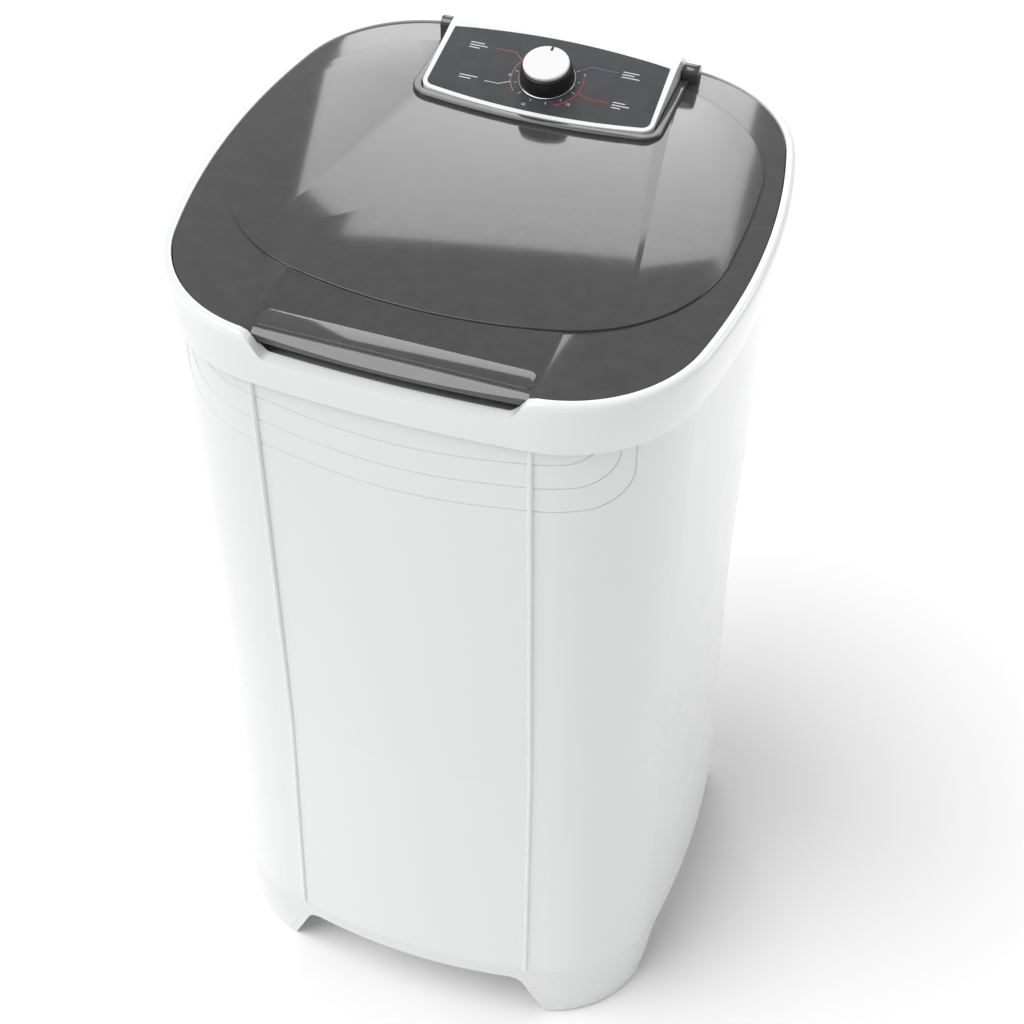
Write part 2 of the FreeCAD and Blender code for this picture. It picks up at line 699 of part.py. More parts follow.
def build_top_frame():
    levels = (
        ("rim_band_bottom", "rim_draft"),
        ("rim_top - scoop_depth - 4", "0"),
        ("rim_top - rim_round * 1.6", "0"),
        ("rim_top - rim_round * 0.3", "rim_round * 0.3"),
        ("rim_top", "rim_round"),
    )
    outer = loft("rim_out", [outline(f"rim_out{i}", RIM, z, inset) for i, (z, inset) in enumerate(levels)])
    hollow = loft(
        "rim_hollow",
        [
            outline("rim_hollow0", RIM, "rim_band_bottom - 1", "rim_draft + rim_wall"),
            outline("rim_hollow1", RIM, UPPER_TOP, "rim_wall + 1"),
        ],
    )
    recess = prism("rim_recess", RIM, LEDGE, "rim_top + 1", "recess_inset")
    well = prism("rim_well", RIM, DECK_TOP, f"{LEDGE} + 1", "recess_inset + ledge_width")
    opening = cylinder("deck_hole", "tub_top_radius + tub_wall + 1.5", "deck_thickness + 2", z=f"{UPPER_TOP} - 1")
    harness = cylinder("deck_harness_hole", "harness_radius + 4", "deck_thickness + 2", HARNESS_UP[0],
                       HARNESS_UP[1], f"{UPPER_TOP} - 1")
    sketch = free_sketch("scoop_sketch", rotation=FRONT)
    low, edge = "rim_top - scoop_depth", "scoop_half + scoop_run"
    draw_polygon(
        sketch,
        (
            (f"-({edge}) - 30", "rim_top + 10"),
            (f"-({edge}) - 30", "rim_top"),
            (f"-({edge})", "rim_top", "scoop_round"),
            ("-scoop_half", low, "scoop_round"),
            ("scoop_half", low, "scoop_round"),
            (edge, "rim_top", "scoop_round"),
            (f"{edge} + 30", "rim_top"),
            (f"{edge} + 30", "rim_top + 10"),
        ),
    )
    scoop = extrude("scoop", sketch, Vector(0, -1, 0), "rim_half_depth + 20", "-(rim_half_depth - 45)")
    finish("top_frame", cut("rim", outer, hollow, recess, well, opening, harness, scoop))


# ---------------------------------------------------------------- tub and what is in it
FLANGE_TOP = "rim_top - deck_depth + tub_wall"
SPIGOT_RADIUS = "drain_bore + spigot_wall"
TUB_UNDER = "tub_floor - tub_wall - 1"
SEAL_RADIUS = "shaft_radius + 12"


def build_tub():
    body = new_body("wash_tub")
    outside = "tub_bottom_radius + tub_wall"
    revolve(
        body,
        "tub_shell",
        (
            (SEAL_RADIUS, TUB_UNDER),
            (outside, TUB_UNDER, "tub_round + tub_wall"),
            ("tub_top_radius + tub_wall", DECK_TOP),
            ("tub_top_radius + tub_wall + tub_flange", DECK_TOP),
            ("tub_top_radius + tub_wall + tub_flange", FLANGE_TOP),
            ("tub_top_radius", FLANGE_TOP),
            ("tub_bottom_radius", "tub_floor", "tub_round"),
            (SEAL_RADIUS, "tub_floor"),
        ),
    )
    pad(body, "tub_bosses", f"{TUB_UNDER} - plate_top + 1", "plate_top",
        circles=four_ways("boss_radius", "boss_offset"))
    pad(body, "tub_spigot", f"{TUB_UNDER} - ({SPIGOT_LOW}) + 1", SPIGOT_LOW,
        circles=[(SPIGOT_RADIUS, "drain_offset", "-drain_offset")])
    drill(body, "tub_drain", [("drain_bore", "drain_offset", "-drain_offset")], f"{SPIGOT_LOW} - 1", "60")
    drill(body, "boss_holes", four_ways("3", "boss_offset"), "plate_top - 1", "20")


SPIGOT_LOW = "plate_top + 1"


def build_drain_grille():
    body = new_body("drain_grille", "drain_offset", "-drain_offset", "tub_floor")
    pad(body, "grille_plate", "tub_wall", circles=[("drain_bore + 7", "0", "0")])
    ring_holes = [
        ("2", f"{7 * math.cos(math.tau * i / 6):.3f}", f"{7 * math.sin(math.tau * i / 6):.3f}") for i in range(6)
    ]
    drill(body, "grille_holes", [("2", "0", "0")] + ring_holes, "-1", "tub_wall + 2")


def build_lint_filter():
    """Rail on the tub wall and the lift-out cartridge in it, on the left-hand side."""
    face = "-tub_bottom_radius + 3"
    cavity = doc.addObject("Part::Cone", "tub_cavity")
    bind(cavity, Radius1="tub_bottom_radius", Radius2="tub_top_radius", Height=f"{FLANGE_TOP} - tub_floor")
    place(cavity, z="tub_floor")
    block = box("rail_block", f"{face} - 20", "-38", FILTER_LOW, "36", "76", "170")
    rail = common("rail_on_wall", block, cavity)
    slot = box("rail_slot", f"{face} + 5", "-34", f"{FILTER_LOW} + 4", "6", "68", "180")
    window = box("rail_window", f"{face} + 10", "-26", f"{FILTER_LOW} + 12", "10", "52", "140")
    finish("filter_rail", cut("rail", rail, slot, window))
    frame = box("filter_block", f"{face} + 5.5", "-33.5", f"{FILTER_LOW} + 4", "5", "67", "172")
    mesh = box("filter_window", f"{face} + 7.5", "-26", f"{FILTER_LOW} + 14", "8", "52", "136")
    finish("lint_filter", cut("filter", frame, mesh))


FILTER_LOW = "tub_floor + 150"


# ---------------------------------------------------------------- agitator, shaft, bearings
DISC_LOW = "tub_floor + agitator_gap"
SHAFT_TOP = "tub_floor + agitator_gap + agitator_height - 12"


def build_agitator():
    body = new_body("agitator", z=DISC_LOW)
    revolve(
        body,
        "agitator_disc",
        (
            ("shaft_radius", "0"),
            ("agitator_radius", "0"),
            ("agitator_radius", "5"),
            ("agitator_radius * 0.55", "12"),
            ("agitator_radius * 0.3", "30"),
            ("24", "agitator_height - 8"),
            ("18", "agitator_height"),
            ("14", "agitator_height"),
            ("14", "agitator_height - 12"),
            ("shaft_radius", "agitator_height - 12"),
        ),
    )
    sketch = body_sketch(body, "fin_sketch", "XZ_Plane", "-fin_thickness / 2")
    draw_polygon(
        sketch,
        (
            ("22", "4"),
            ("agitator_radius - 5", "4"),
            ("agitator_radius - 8", "fin_height * 0.45", "6"),
            ("agitator_radius * 0.5", "fin_height", "20"),
            ("22", "fin_height + 20"),
        ),
    )
    fin = body.newObject("PartDesign::Pad", "fin")
    fin.Profile = sketch
    bind(fin, Length="fin_thickness")
    polar(body, "fins", fin, 4)

    body = new_body("agitator_cap", z=f"{DISC_LOW} + agitator_height")
    revolve(body, "cap", (("0", "-5"), ("13.8", "-5"), ("13.8", "0"), ("20", "0"), ("20", "3", "2"), ("0", "7")))
    body = new_body("agitator_screw", z=SHAFT_TOP)
    revolve(body, "screw", (("0", "0"), ("9", "0"), ("9", "6"), ("0", "6")))


HOUSING_LOW = "belt_height + 33"
LOWER_BEARING = f"{HOUSING_LOW} + 4"
UPPER_BEARING = f"{TUB_UNDER} - 46"


def build_shaft_line():
    body = new_body("drive_shaft", z="shaft_bottom")
    revolve(
        body,
        "shaft",
        (
            ("0", "0"),
            ("shaft_radius - 1", "0"),
            ("shaft_radius", "1"),
            ("shaft_radius", f"{SHAFT_TOP} - shaft_bottom"),
            ("0", f"{SHAFT_TOP} - shaft_bottom"),
        ),
    )
    body = new_body("bearing_housing")
    revolve(
        body,
        "housing",
        (
            ("bearing_radius", HOUSING_LOW),
            ("bearing_radius + 5", HOUSING_LOW),
            ("bearing_radius + 5", f"{TUB_UNDER} - 12"),
            ("SEAL + 25".replace("SEAL", SEAL_RADIUS), f"{TUB_UNDER} - 8"),
            ("SEAL + 25".replace("SEAL", SEAL_RADIUS), TUB_UNDER),
            ("bearing_radius", TUB_UNDER),
        ),
    )
    for name, low in (("bearing_lower", LOWER_BEARING), ("bearing_upper", UPPER_BEARING)):
        body = new_body(name, z=low)
        revolve(
            body,
            name + "_ring",
            (
                ("shaft_radius + running_gap", "0"),
                ("bearing_radius", "0"),
                ("bearing_radius", "bearing_height"),
                ("shaft_radius + running_gap", "bearing_height"),
            ),
        )
    body = new_body("shaft_seal", z=TUB_UNDER)
    revolve(
        body,
        "seal",
        (
            ("shaft_radius + running_gap", "0"),
            (SEAL_RADIUS, "0"),
            (SEAL_RADIUS, "tub_wall + 1"),
            ("shaft_radius + 4", "tub_wall + 4"),
            ("shaft_radius + running_gap", "tub_wall + 4"),
        ),
    )
    body = new_body("driven_pulley", z="belt_height")
    side = "belt_width / 2 + 0.6"
    revolve(
        body,
        "pulley",
        (
            ("shaft_radius", "-11"),
            ("22", "-11"),
            ("22", "-3"),
            ("driven_groove - 8", "-3"),
            ("driven_groove - 8", f"-({side}) - 2.5"),
            ("driven_groove + 6", f"-({side}) - 2.5"),
            ("driven_groove + 6", f"-({side})"),
            ("driven_groove", f"-({side})"),
            ("driven_groove", side),
            ("driven_groove + 6", side),
            ("driven_groove + 6", f"{side} + 2.5"),
            ("driven_groove - 8", f"{side} + 2.5"),
            ("driven_groove - 8", "3"),
            ("22", "3"),
            ("22", "17"),
            ("shaft_radius", "17"),
        ),
    )
    hole = drill(body, "pulley_hole", [("driven_groove * 0.17", "driven_groove * 0.57", "0")], "-4", "8")
    polar(body, "pulley_holes", hole, 5)
    body = new_body("pulley_nut", z="belt_height - 11")
    nut = [
        (f"14 * {math.cos(math.tau * i / 6):.5f}", f"14 * {math.sin(math.tau * i / 6):.5f}") for i in range(6)
    ]
    pad(body, "nut", "8", "-8", polygon=nut)
    drill(body, "nut_bore", [("shaft_radius", "0", "0")], "-9", "10")


def build_mechanism_plate():
    body = new_body("mechanism_plate", z="plate_top - plate_thickness")
    left, right, front, back = "motor_x - 66", "boss_offset + 16", "-boss_offset - 16", "motor_y + 62"
    pad(
        body,
        "plate",
        "plate_thickness",
        polygon=(
            (left, "boss_offset - 20", "12"),
            ("-boss_offset - 16", front, "12"),
            (right, front, "12"),
            (right, "boss_offset + 16", "12"),
            ("motor_x + 66", back, "12"),
            (left, back, "12"),
        ),
    )
    drill(body, "plate_bore", [("bearing_radius + 5.5", "0", "0")], "-1", "plate_thickness + 2")
    drill(body, "plate_holes", four_ways("3", "boss_offset"), "-1", "plate_thickness + 2")
    bolts = []
    for key, (sx, sy) in CORNERS.items():
        x, y = f"{sx} * boss_offset", f"{sy} * boss_offset"
        low = "plate_top - plate_thickness"
        head = cylinder(f"plate_head_{key}", "5.5", "4", x, y, f"{low} - 4")
        shank = cylinder(f"plate_shank_{key}", "3", "18", x, y, f"{low} - 1")
        bolts.append(fuse(f"plate_bolt_{key}", head, shank))
    finish("mechanism_bolts", group("mechanism_bolt_set", bolts))


# ---------------------------------------------------------------- motor and belt
BOLT_RING = 0.6364  # share of the motor's radius at which its four bolts sit, each way
MOTOR_BOLTS = [("2.5", f"{sx} * {BOLT_RING} * motor_radius", f"{sy} * {BOLT_RING} * motor_radius")
               for sx, sy in CORNERS.values()]
CAP = "(motor_height - stator_height) / 2"


def build_motor():
    at = ("motor_x", "motor_y", "motor_bottom")
    bore = "motor_shaft_radius + running_gap"
    body = new_body("motor_shield_bottom", *at)
    revolve(
        body,
        "shield_low",
        (
            (bore, "0"),
            ("motor_radius - 6", "0"),
            ("motor_radius", "6"),
            ("motor_radius", CAP),
            ("motor_radius - 5", CAP),
            ("motor_radius - 5", "8"),
            ("16", "5"),
            ("16", "14"),
            (bore, "14"),
        ),
    )
    body = new_body("motor_shield_top", *at)
    revolve(
        body,
        "shield_high",
        (
            (bore, "motor_height - 14"),
            ("16", "motor_height - 14"),
            ("16", "motor_height - 5"),
            ("motor_radius - 5", "motor_height - 8"),
            ("motor_radius - 5", f"motor_height - {CAP}"),
            ("motor_radius", f"motor_height - {CAP}"),
            ("motor_radius", "motor_height - 6"),
            ("motor_radius - 6", "motor_height"),
            (bore, "motor_height"),
        ),
    )
    body = new_body("motor_stator", *at)
    revolve(
        body,
        "stator",
        (
            ("rotor_radius + air_gap", CAP),
            ("motor_radius", CAP),
            ("motor_radius", f"motor_height - {CAP}"),
            ("rotor_radius + air_gap", f"motor_height - {CAP}"),
        ),
    )
    drill(body, "stator_holes", MOTOR_BOLTS, f"{CAP} - 1", "stator_height + 2")
    rods = [
        cylinder(f"motor_rod_{i}", "2.5", "stator_height", f"motor_x + {x}", f"motor_y + {y}",
                 f"motor_bottom + {CAP}")
        for i, (_radius, x, y) in enumerate(MOTOR_BOLTS)
    ]
    finish("motor_bolts", group("motor_bolt_set", rods))
    mounts = [
        cylinder(f"motor_mount_{i}", "8", "plate_top - plate_thickness - motor_bottom - motor_height",
                 f"motor_x + {sx} * 34", f"motor_y + {sy} * 34", "motor_bottom + motor_height")
        for i, (sx, sy) in enumerate(CORNERS.values())
    ]
    finish("motor_mounts", group("motor_mount_set", mounts))

    body = new_body("motor_rotor", *at)
    revolve(
        body,
        "rotor",
        (
            ("motor_shaft_radius", f"{CAP} + 2"),
            ("rotor_radius", f"{CAP} + 2"),
            ("rotor_radius", f"motor_height - {CAP} - 2"),
            ("motor_shaft_radius", f"motor_height - {CAP} - 2"),
        ),
    )
    body = new_body("motor_shaft", *at)
    revolve(
        body,
        "spindle",
        (
            ("0", "belt_height - 14 - motor_bottom"),
            ("motor_shaft_radius", "belt_height - 14 - motor_bottom"),
            ("motor_shaft_radius", "motor_height - 3"),
            ("0", "motor_height - 3"),
        ),
    )
    body = new_body("motor_pulley", "motor_x", "motor_y", "belt_height")
    side = "belt_width / 2 + 0.6"
    revolve(
        body,
        "small_pulley",
        (
            ("motor_shaft_radius", f"-({side}) - 2.5"),
            ("motor_groove + 7", f"-({side}) - 2.5"),
            ("motor_groove + 7", f"-({side})"),
            ("motor_groove", f"-({side})"),
            ("motor_groove", side),
            ("motor_groove + 7", side),
            ("motor_groove + 7", f"{side} + 2.5"),
            ("motor_shaft_radius", f"{side} + 2.5"),
        ),
    )


def belt_loop(name, grow, low, height):
    """Closed band round both pulleys, grown outwards from the groove floors."""
    big, small = f"driven_groove + ({grow})", f"motor_groove + ({grow})"
    radius_a, radius_b = value(big), value(small)
    centre = Vector(value("motor_x"), value("motor_y"), 0)
    heading = math.atan2(centre.y, centre.x)
    lean = math.acos((radius_a - radius_b) / centre.Length)
    angle_low, angle_high = heading - lean, heading + lean
    sketch = free_sketch(name + "_sketch", z=low)
    rim = [Vector(math.cos(a), math.sin(a), 0) for a in (angle_low, angle_high)]
    arc_a = Part.ArcOfCircle(Part.Circle(Vector(), Vector(0, 0, 1), radius_a), angle_high, angle_low + math.tau)
    arc_b = Part.ArcOfCircle(Part.Circle(centre, Vector(0, 0, 1), radius_b), angle_low, angle_high)
    wide = sketch.addGeometry(arc_a, False)
    first = sketch.addGeometry(Part.LineSegment(rim[0] * radius_a, centre + rim[0] * radius_b), False)
    tight = sketch.addGeometry(arc_b, False)
    second = sketch.addGeometry(Part.LineSegment(centre + rim[1] * radius_b, rim[1] * radius_a), False)
    for one, end, other, start in ((wide, 2, first, 1), (first, 2, tight, 1), (tight, 2, second, 1),
                                   (second, 2, wide, 1)):
        sketch.addConstraint(Sketcher.Constraint("Tangent", one, end, other, start))
    fix_point(sketch, wide, 3, "0", "0")
    fix_point(sketch, tight, 3, "motor_x", "motor_y")
    fix_radius(sketch, wide, big)
    fix_radius(sketch, tight, small)
    return extrude(name, sketch, Vector(0, 0, 1), height)


def build_belt():
    low = "belt_height - belt_width / 2"
    outer = belt_loop("belt_out", "belt_gap + belt_thickness", low, "belt_width")
    inner = belt_loop("belt_in", "belt_gap", f"{low} - 1", "belt_width + 2")
    finish("drive_belt", cut("belt", outer, inner))


# ---------------------------------------------------------------- electrics and drain line
HARNESS_UP = ("-95", "hinge_y - 8")


def build_electrics():
    deck = "base_deck_height + base_deck_thickness"
    body = new_body("capacitor", "150", "-120", deck)
    revolve(body, "can", (("0", "0"), ("20", "0"), ("20", "76"), ("18", "80"), ("0", "80")))
    body = new_body("capacitor_clip", "150", "-120", deck)
    band = "22"
    revolve(body, "clip", (("20", "10"), (band, "10"), (band, "24"), ("20", "24")))
    pad(body, "clip_foot", "3", polygon=rectangle("21", "38", "-7", "7"))
    pad(body, "clip_leg", "24", polygon=rectangle("20.5", "23", "-7", "7"))
    finish("terminal_block", cut(
        "terminals",
        box("terminal_body", "-150", "150", deck, "64", "30", "24"),
        *[box(f"terminal_slot_{i}", f"-145 + {i} * 15", "149", f"{deck} + 8", "9", "20", "17") for i in range(4)],
    ))


def rounded_path(points):
    """Straight runs joined by tangent arcs. Each radius is 0.45 of its shorter run over tan(half turn)."""
    edges, start, radii = [], points[0], []
    for before, corner, after in zip(points, points[1:], points[2:]):
        to_before, to_after = before - corner, after - corner
        half = (math.pi - to_before.getAngle(to_after)) / 2
        reach = 0.45 * min(to_before.Length, to_after.Length)
        radii.append(reach / math.tan(half))
        enter = corner + to_before.normalize() * reach
        leave = corner + to_after.normalize() * reach
        inward = (to_before.normalize() + to_after.normalize()).normalize()
        centre = corner + inward * (radii[-1] / math.cos(half))
        middle = centre - inward * radii[-1]
        edges.append(Part.LineSegment(start, enter).toShape())
        edges.append(Part.Arc(enter, middle, leave).toShape())
        start = leave
    edges.append(Part.LineSegment(start, points[-1]).toShape())
    return Part.Wire(edges), radii


def tube_along(path, radius):
    """Round solid swept along a path, checked against its section times its length."""
    start = path.Edges[0]
    tangent = start.tangentAt(start.FirstParameter)
    section = Part.Wire([Part.Circle(start.valueAt(start.FirstParameter), tangent, radius).toShape()])
    solid = path.makePipeShell([section], True, True)
    expected = math.pi * radius**2 * path.Length
    assert abs(solid.Volume - expected) < 0.01 * expected, (solid.Volume, expected)
    return solid


def routed(name, shape):
    """Sub-part whose shape follows a route worked out from the sheet."""
    item = doc.addObject("Part::Feature", name + "_route")
    item.Shape = shape
    item.Placement = Placement()
    return finish(name, item)


def build_harness():
    wall_inside = doc.getObject("upper_in")
    deck_plane = value(UPPER_TOP)
    side, back = value("-seam_half_width + 42"), value("hinge_y - 8")
    base = value("base_deck_height + base_deck_thickness + 24")
    points = [
        Vector(-118, 165, base),
        Vector(-118, 165, base + 70),
        Vector(side, 118, base + 170),
        Vector(side, 118, deck_plane - 190),
        Vector(side + 45, 165, deck_plane - 95),
        Vector(value(HARNESS_UP[0]), back, deck_plane - 45),
        Vector(value(HARNESS_UP[0]), back, value(FLANGE_TOP) + 12),
    ]
    path, radii = rounded_path(points)
    print("wire_harness length", round(path.Length, 1), "radii", [round(r, 1) for r in radii])
    routed("wire_harness", tube_along(path, value("harness_radius")))
    clips = []
    for i in range(3):
        z = f"seam_height + 30 + {i} * 105"
        x = "-seam_half_width + 42"
        outer = cylinder(f"clip_ring_{i}", "harness_radius + 2.5", "12", x, "118", z)
        bore = cylinder(f"clip_bore_{i}", "harness_radius", "14", x, "118", f"{z} - 1")
        stalk = box(f"clip_stalk_{i}", "-seam_half_width - 20", "113", z, "57", "10", "12")
        held = common(f"clip_held_{i}", fuse(f"clip_solid_{i}", outer, stalk), wall_inside)
        clips.append(cut(f"clip_{i}", held, bore))
    finish("harness_clips", group("harness_clip_set", clips))


def build_drain_line():
    x, y = value("drain_offset"), value("-drain_offset")
    top, outlet = value(TUB_UNDER) - 2, value("outlet_height")
    bend, wall_face = value("hose_bend"), value(BOSS_FACE) - 4
    down_end = Vector(x, y, outlet + bend)
    turn = Vector(x, y + bend - bend * math.cos(math.pi / 4), outlet + bend - bend * math.sin(math.pi / 4))
    level = Vector(x, y + bend, outlet)
    path = Part.Wire([
        Part.LineSegment(Vector(x, y, top), down_end).toShape(),
        Part.Arc(down_end, turn, level).toShape(),
        Part.LineSegment(level, Vector(x, wall_face, outlet)).toShape(),
    ])
    print("drain_hose length", round(path.Length, 1), "radii", [bend])
    bore = value(SPIGOT_RADIUS)
    outer = tube_along(path, bore + value("hose_wall"))
    inner = tube_along(path, bore)
    routed("drain_hose", outer.cut(inner))

    body = new_body("drain_outlet", "drain_offset", BOSS_FACE, "outlet_height", ALONG["Y"])
    revolve(
        body,
        "outlet",
        (
            ("drain_bore", "-24"),
            (SPIGOT_RADIUS, "-24"),
            (SPIGOT_RADIUS, "-4"),
            ("24", "-4"),
            ("24", "0"),
            (OUTLET_NECK, "0"),
            (OUTLET_NECK, "port_floor + 1"),
            (SPIGOT_RADIUS, "port_floor + 1"),
            (SPIGOT_RADIUS, f"rim_half_depth - ({BOSS_FACE})"),
            ("drain_bore", f"rim_half_depth - ({BOSS_FACE})"),
        ),
    )
    body = new_body("cable_gland", "-drain_offset", BOSS_FACE, "gland_height", ALONG["Y"])
    revolve(
        body,
        "gland",
        (
            ("cord_radius", "-14"),
            ("13", "-14"),
            ("14", "-12"),
            ("14", "0"),
            ("cord_radius + 4", "0"),
            ("cord_radius + 4", f"rim_half_depth - ({BOSS_FACE}) - 1"),
            ("cord_radius", f"rim_half_depth - ({BOSS_FACE}) - 1"),
        ),
    )
    hose_radius = f"{SPIGOT_RADIUS} + hose_wall"
    for name, place_rules, axis in (
        ("hose_clamp_upper", ("drain_offset", "-drain_offset", "plate_top + 8"), "Z"),
        ("hose_clamp_lower", ("drain_offset", f"{BOSS_FACE} - 20", "outlet_height"), "Y"),
    ):
        body = new_body(name, *place_rules, ALONG[axis])
        revolve(
            body,
            name + "_band",
            ((hose_radius, "0"), (f"{hose_radius} + 1", "0"), (f"{hose_radius} + 1", "9"), (hose_radius, "9")),
        )
        pad(body, name + "_screw", "7", "1",
            polygon=rectangle("-5", "5", f"{hose_radius} + 0.5", f"{hose_radius} + 7"))


# ---------------------------------------------------------------- console
TILT = "atan((fascia_back_rise - fascia_front_rise) / (fascia_back_y - fascia_front_y))"
KNOB_Z = f"rim_top + fascia_front_rise + (knob_y - fascia_front_y) * tan({TILT})"


def tilted(item):
    """Seat an object on the sloped fascia, its origin on the knob's axis."""
    place(item, "0", "knob_y", KNOB_Z, Rotation(Vector(1, 0, 0), value(TILT)))
    return bind(item, Placement__Rotation__Angle=TILT)


def console_plan(name, low, high, grow, back):
    """Upright block with the console's bowed plan, grown outwards on its sides and front."""
    sketch = free_sketch(name + "_plan", z=low)
    half, front = f"console_half + ({grow})", f"console_front - ({grow})"
    draw_polygon(
        sketch,
        (
            (f"-({half})", back),
            (f"-({half})", front, f"console_round + ({grow})"),
            ("0", f"{front} - console_apex", f"console_bow + ({grow})"),
            (half, front, f"console_round + ({grow})"),
            (half, back),
        ),
    )
    return extrude(name, sketch, Vector(0, 0, 1), f"({high}) - ({low})")


def console_profile(name, inset):
    """Console's side view, swept across it: sloped fascia, level crest, falling back."""
    slope = f"tan({TILT})"
    front = "console_front - console_apex - 10"
    top_front = f"rim_top + fascia_front_rise + ({front} - fascia_front_y) * {slope} - ({inset})"
    crest = "rim_top + console_crest_rise"
    fall = "(console_crest_rise - console_back_rise) / (rim_half_depth - recess_inset - console_crest_y)"
    back_low = f"{crest} - (rim_half_depth + 10 - console_crest_y) * {fall}"
    sketch = free_sketch(name + "_sketch", rotation=SIDE)
    draw_polygon(
        sketch,
        (
            (front, f"{FLANGE_TOP} - ({inset})"),
            ("rim_half_depth + 10", f"{FLANGE_TOP} - ({inset})"),
            ("rim_half_depth + 10", f"{back_low} - ({inset})"),
            (f"console_crest_y - ({inset}) / 2", f"{crest} - ({inset})"),
            ("fascia_back_y + 3", f"rim_top + fascia_back_rise + 3 * {slope} - ({inset})"),
            (front, top_front),
        ),
    )
    return extrude(name, sketch, Vector(1, 0, 0), "console_half + 20", "console_half + 20")


FASCIA = (
    ("-fascia_front_half", f"(fascia_front_y - knob_y) / cos({TILT})", "8"),
    ("0", f"(fascia_front_y - knob_y - console_apex) / cos({TILT})", "console_bow"),
    ("fascia_front_half", f"(fascia_front_y - knob_y) / cos({TILT})", "8"),
    ("fascia_back_half", f"(fascia_back_y - knob_y) / cos({TILT})", "2"),
    ("0", f"(fascia_back_y - knob_y + console_apex) / cos({TILT})", "console_bow"),
    ("-fascia_back_half", f"(fascia_back_y - knob_y) / cos({TILT})", "2"),
)


def console_room(name, inset):
    """Space inside the rim's recess, stepped over the ledge, kept clear by the fit gap."""
    step = f"{LEDGE} + fit_gap + ({inset})"
    low = prism(name + "_low", RIM, DECK_TOP, step, f"recess_inset + ledge_width + fit_gap + ({inset})")
    high = prism(name + "_high", RIM, step, "rim_top + 60", f"recess_inset + fit_gap + ({inset})")
    return fuse(name, low, high)


def build_console():
    outer = common(
        "console_outer",
        console_plan("console_block", DECK_TOP, "rim_top + 60", "0", "rim_half_depth"),
        console_profile("console_side", "0"),
        console_room("console_bounds", "0"),
    )
    hollow = common(
        "console_hollow",
        console_plan("console_void", DECK_TOP, "rim_top + 60", "-console_wall", "rim_half_depth"),
        console_profile("console_void_side", "console_wall + fascia_sink"),
        console_room("console_void_bounds", "console_wall"),
    )
    floor = common(
        "console_floor",
        box("console_floor_slab", "-console_half + 1", "console_front + 4", FLANGE_TOP,
            "2 * console_half - 2", "rim_half_depth", "console_wall"),
        console_room("console_floor_bounds", "1"),
    )
    seat = doc.addObject("Sketcher::SketchObject", "fascia_seat_sketch")
    tilted(seat)
    draw_polygon(seat, FASCIA)
    seat_cut = doc.addObject("Part::Extrusion", "fascia_seat")
    seat_cut.Base = seat
    seat_cut.DirMode = "Normal"
    seat_cut.Solid = True
    bind(seat_cut, LengthFwd="8", LengthRev="fascia_sink")
    hinge = {"y": "hinge_y", "z": "rim_top + hinge_rise"}
    barrels, bores = [], []
    for name, x in (("left", "-console_half"), ("right", "console_half - 18")):
        barrels.append(cylinder(f"hinge_barrel_{name}", "hinge_pin + 4", "18", x, axis="X", **hinge))
        bores.append(cylinder(f"hinge_bore_{name}", "hinge_pin", "24",
                              f"{x} - 3", axis="X", **hinge))
    harness = cylinder("floor_harness_hole", "harness_radius + 1", "20", *HARNESS_UP, f"{FLANGE_TOP} - 5")
    shell = cut("console_shell", outer, hollow, seat_cut)
    solid = fuse("console_solid", shell, floor, *barrels)
    finish("console_housing", cut("console", solid, harness, *bores, console_shaft_hole()))


def console_shaft_hole():
    """Hole for the timer shaft, drilled square to the fascia."""
    sketch = tilted(doc.addObject("Sketcher::SketchObject", "console_shaft_sketch"))
    draw_circle(sketch, "timer_shaft_radius + 4")
    hole = doc.addObject("Part::Extrusion", "console_shaft_hole")
    hole.Base = sketch
    hole.DirMode = "Normal"
    hole.Solid = True
    return bind(hole, LengthFwd="10", LengthRev="10")


def on_fascia(name):
    """Body that sits on the sloped fascia."""
    body = doc.addObject("PartDesign::Body", name + "_body")
    tilted(body)
    return finish(name, body)


def build_fascia():
    body = on_fascia("control_fascia")
    pad(body, "fascia_plate", "fascia_thickness", "-fascia_sink", polygon=FASCIA)
    drill(body, "fascia_hole", [("timer_shaft_radius + 4", "0", "0")], "-fascia_sink - 1", "8")


FASCIA_TOP = "fascia_thickness - fascia_sink"
TIMER_TOP = f"-(fascia_sink + console_wall) * cos({TILT})"


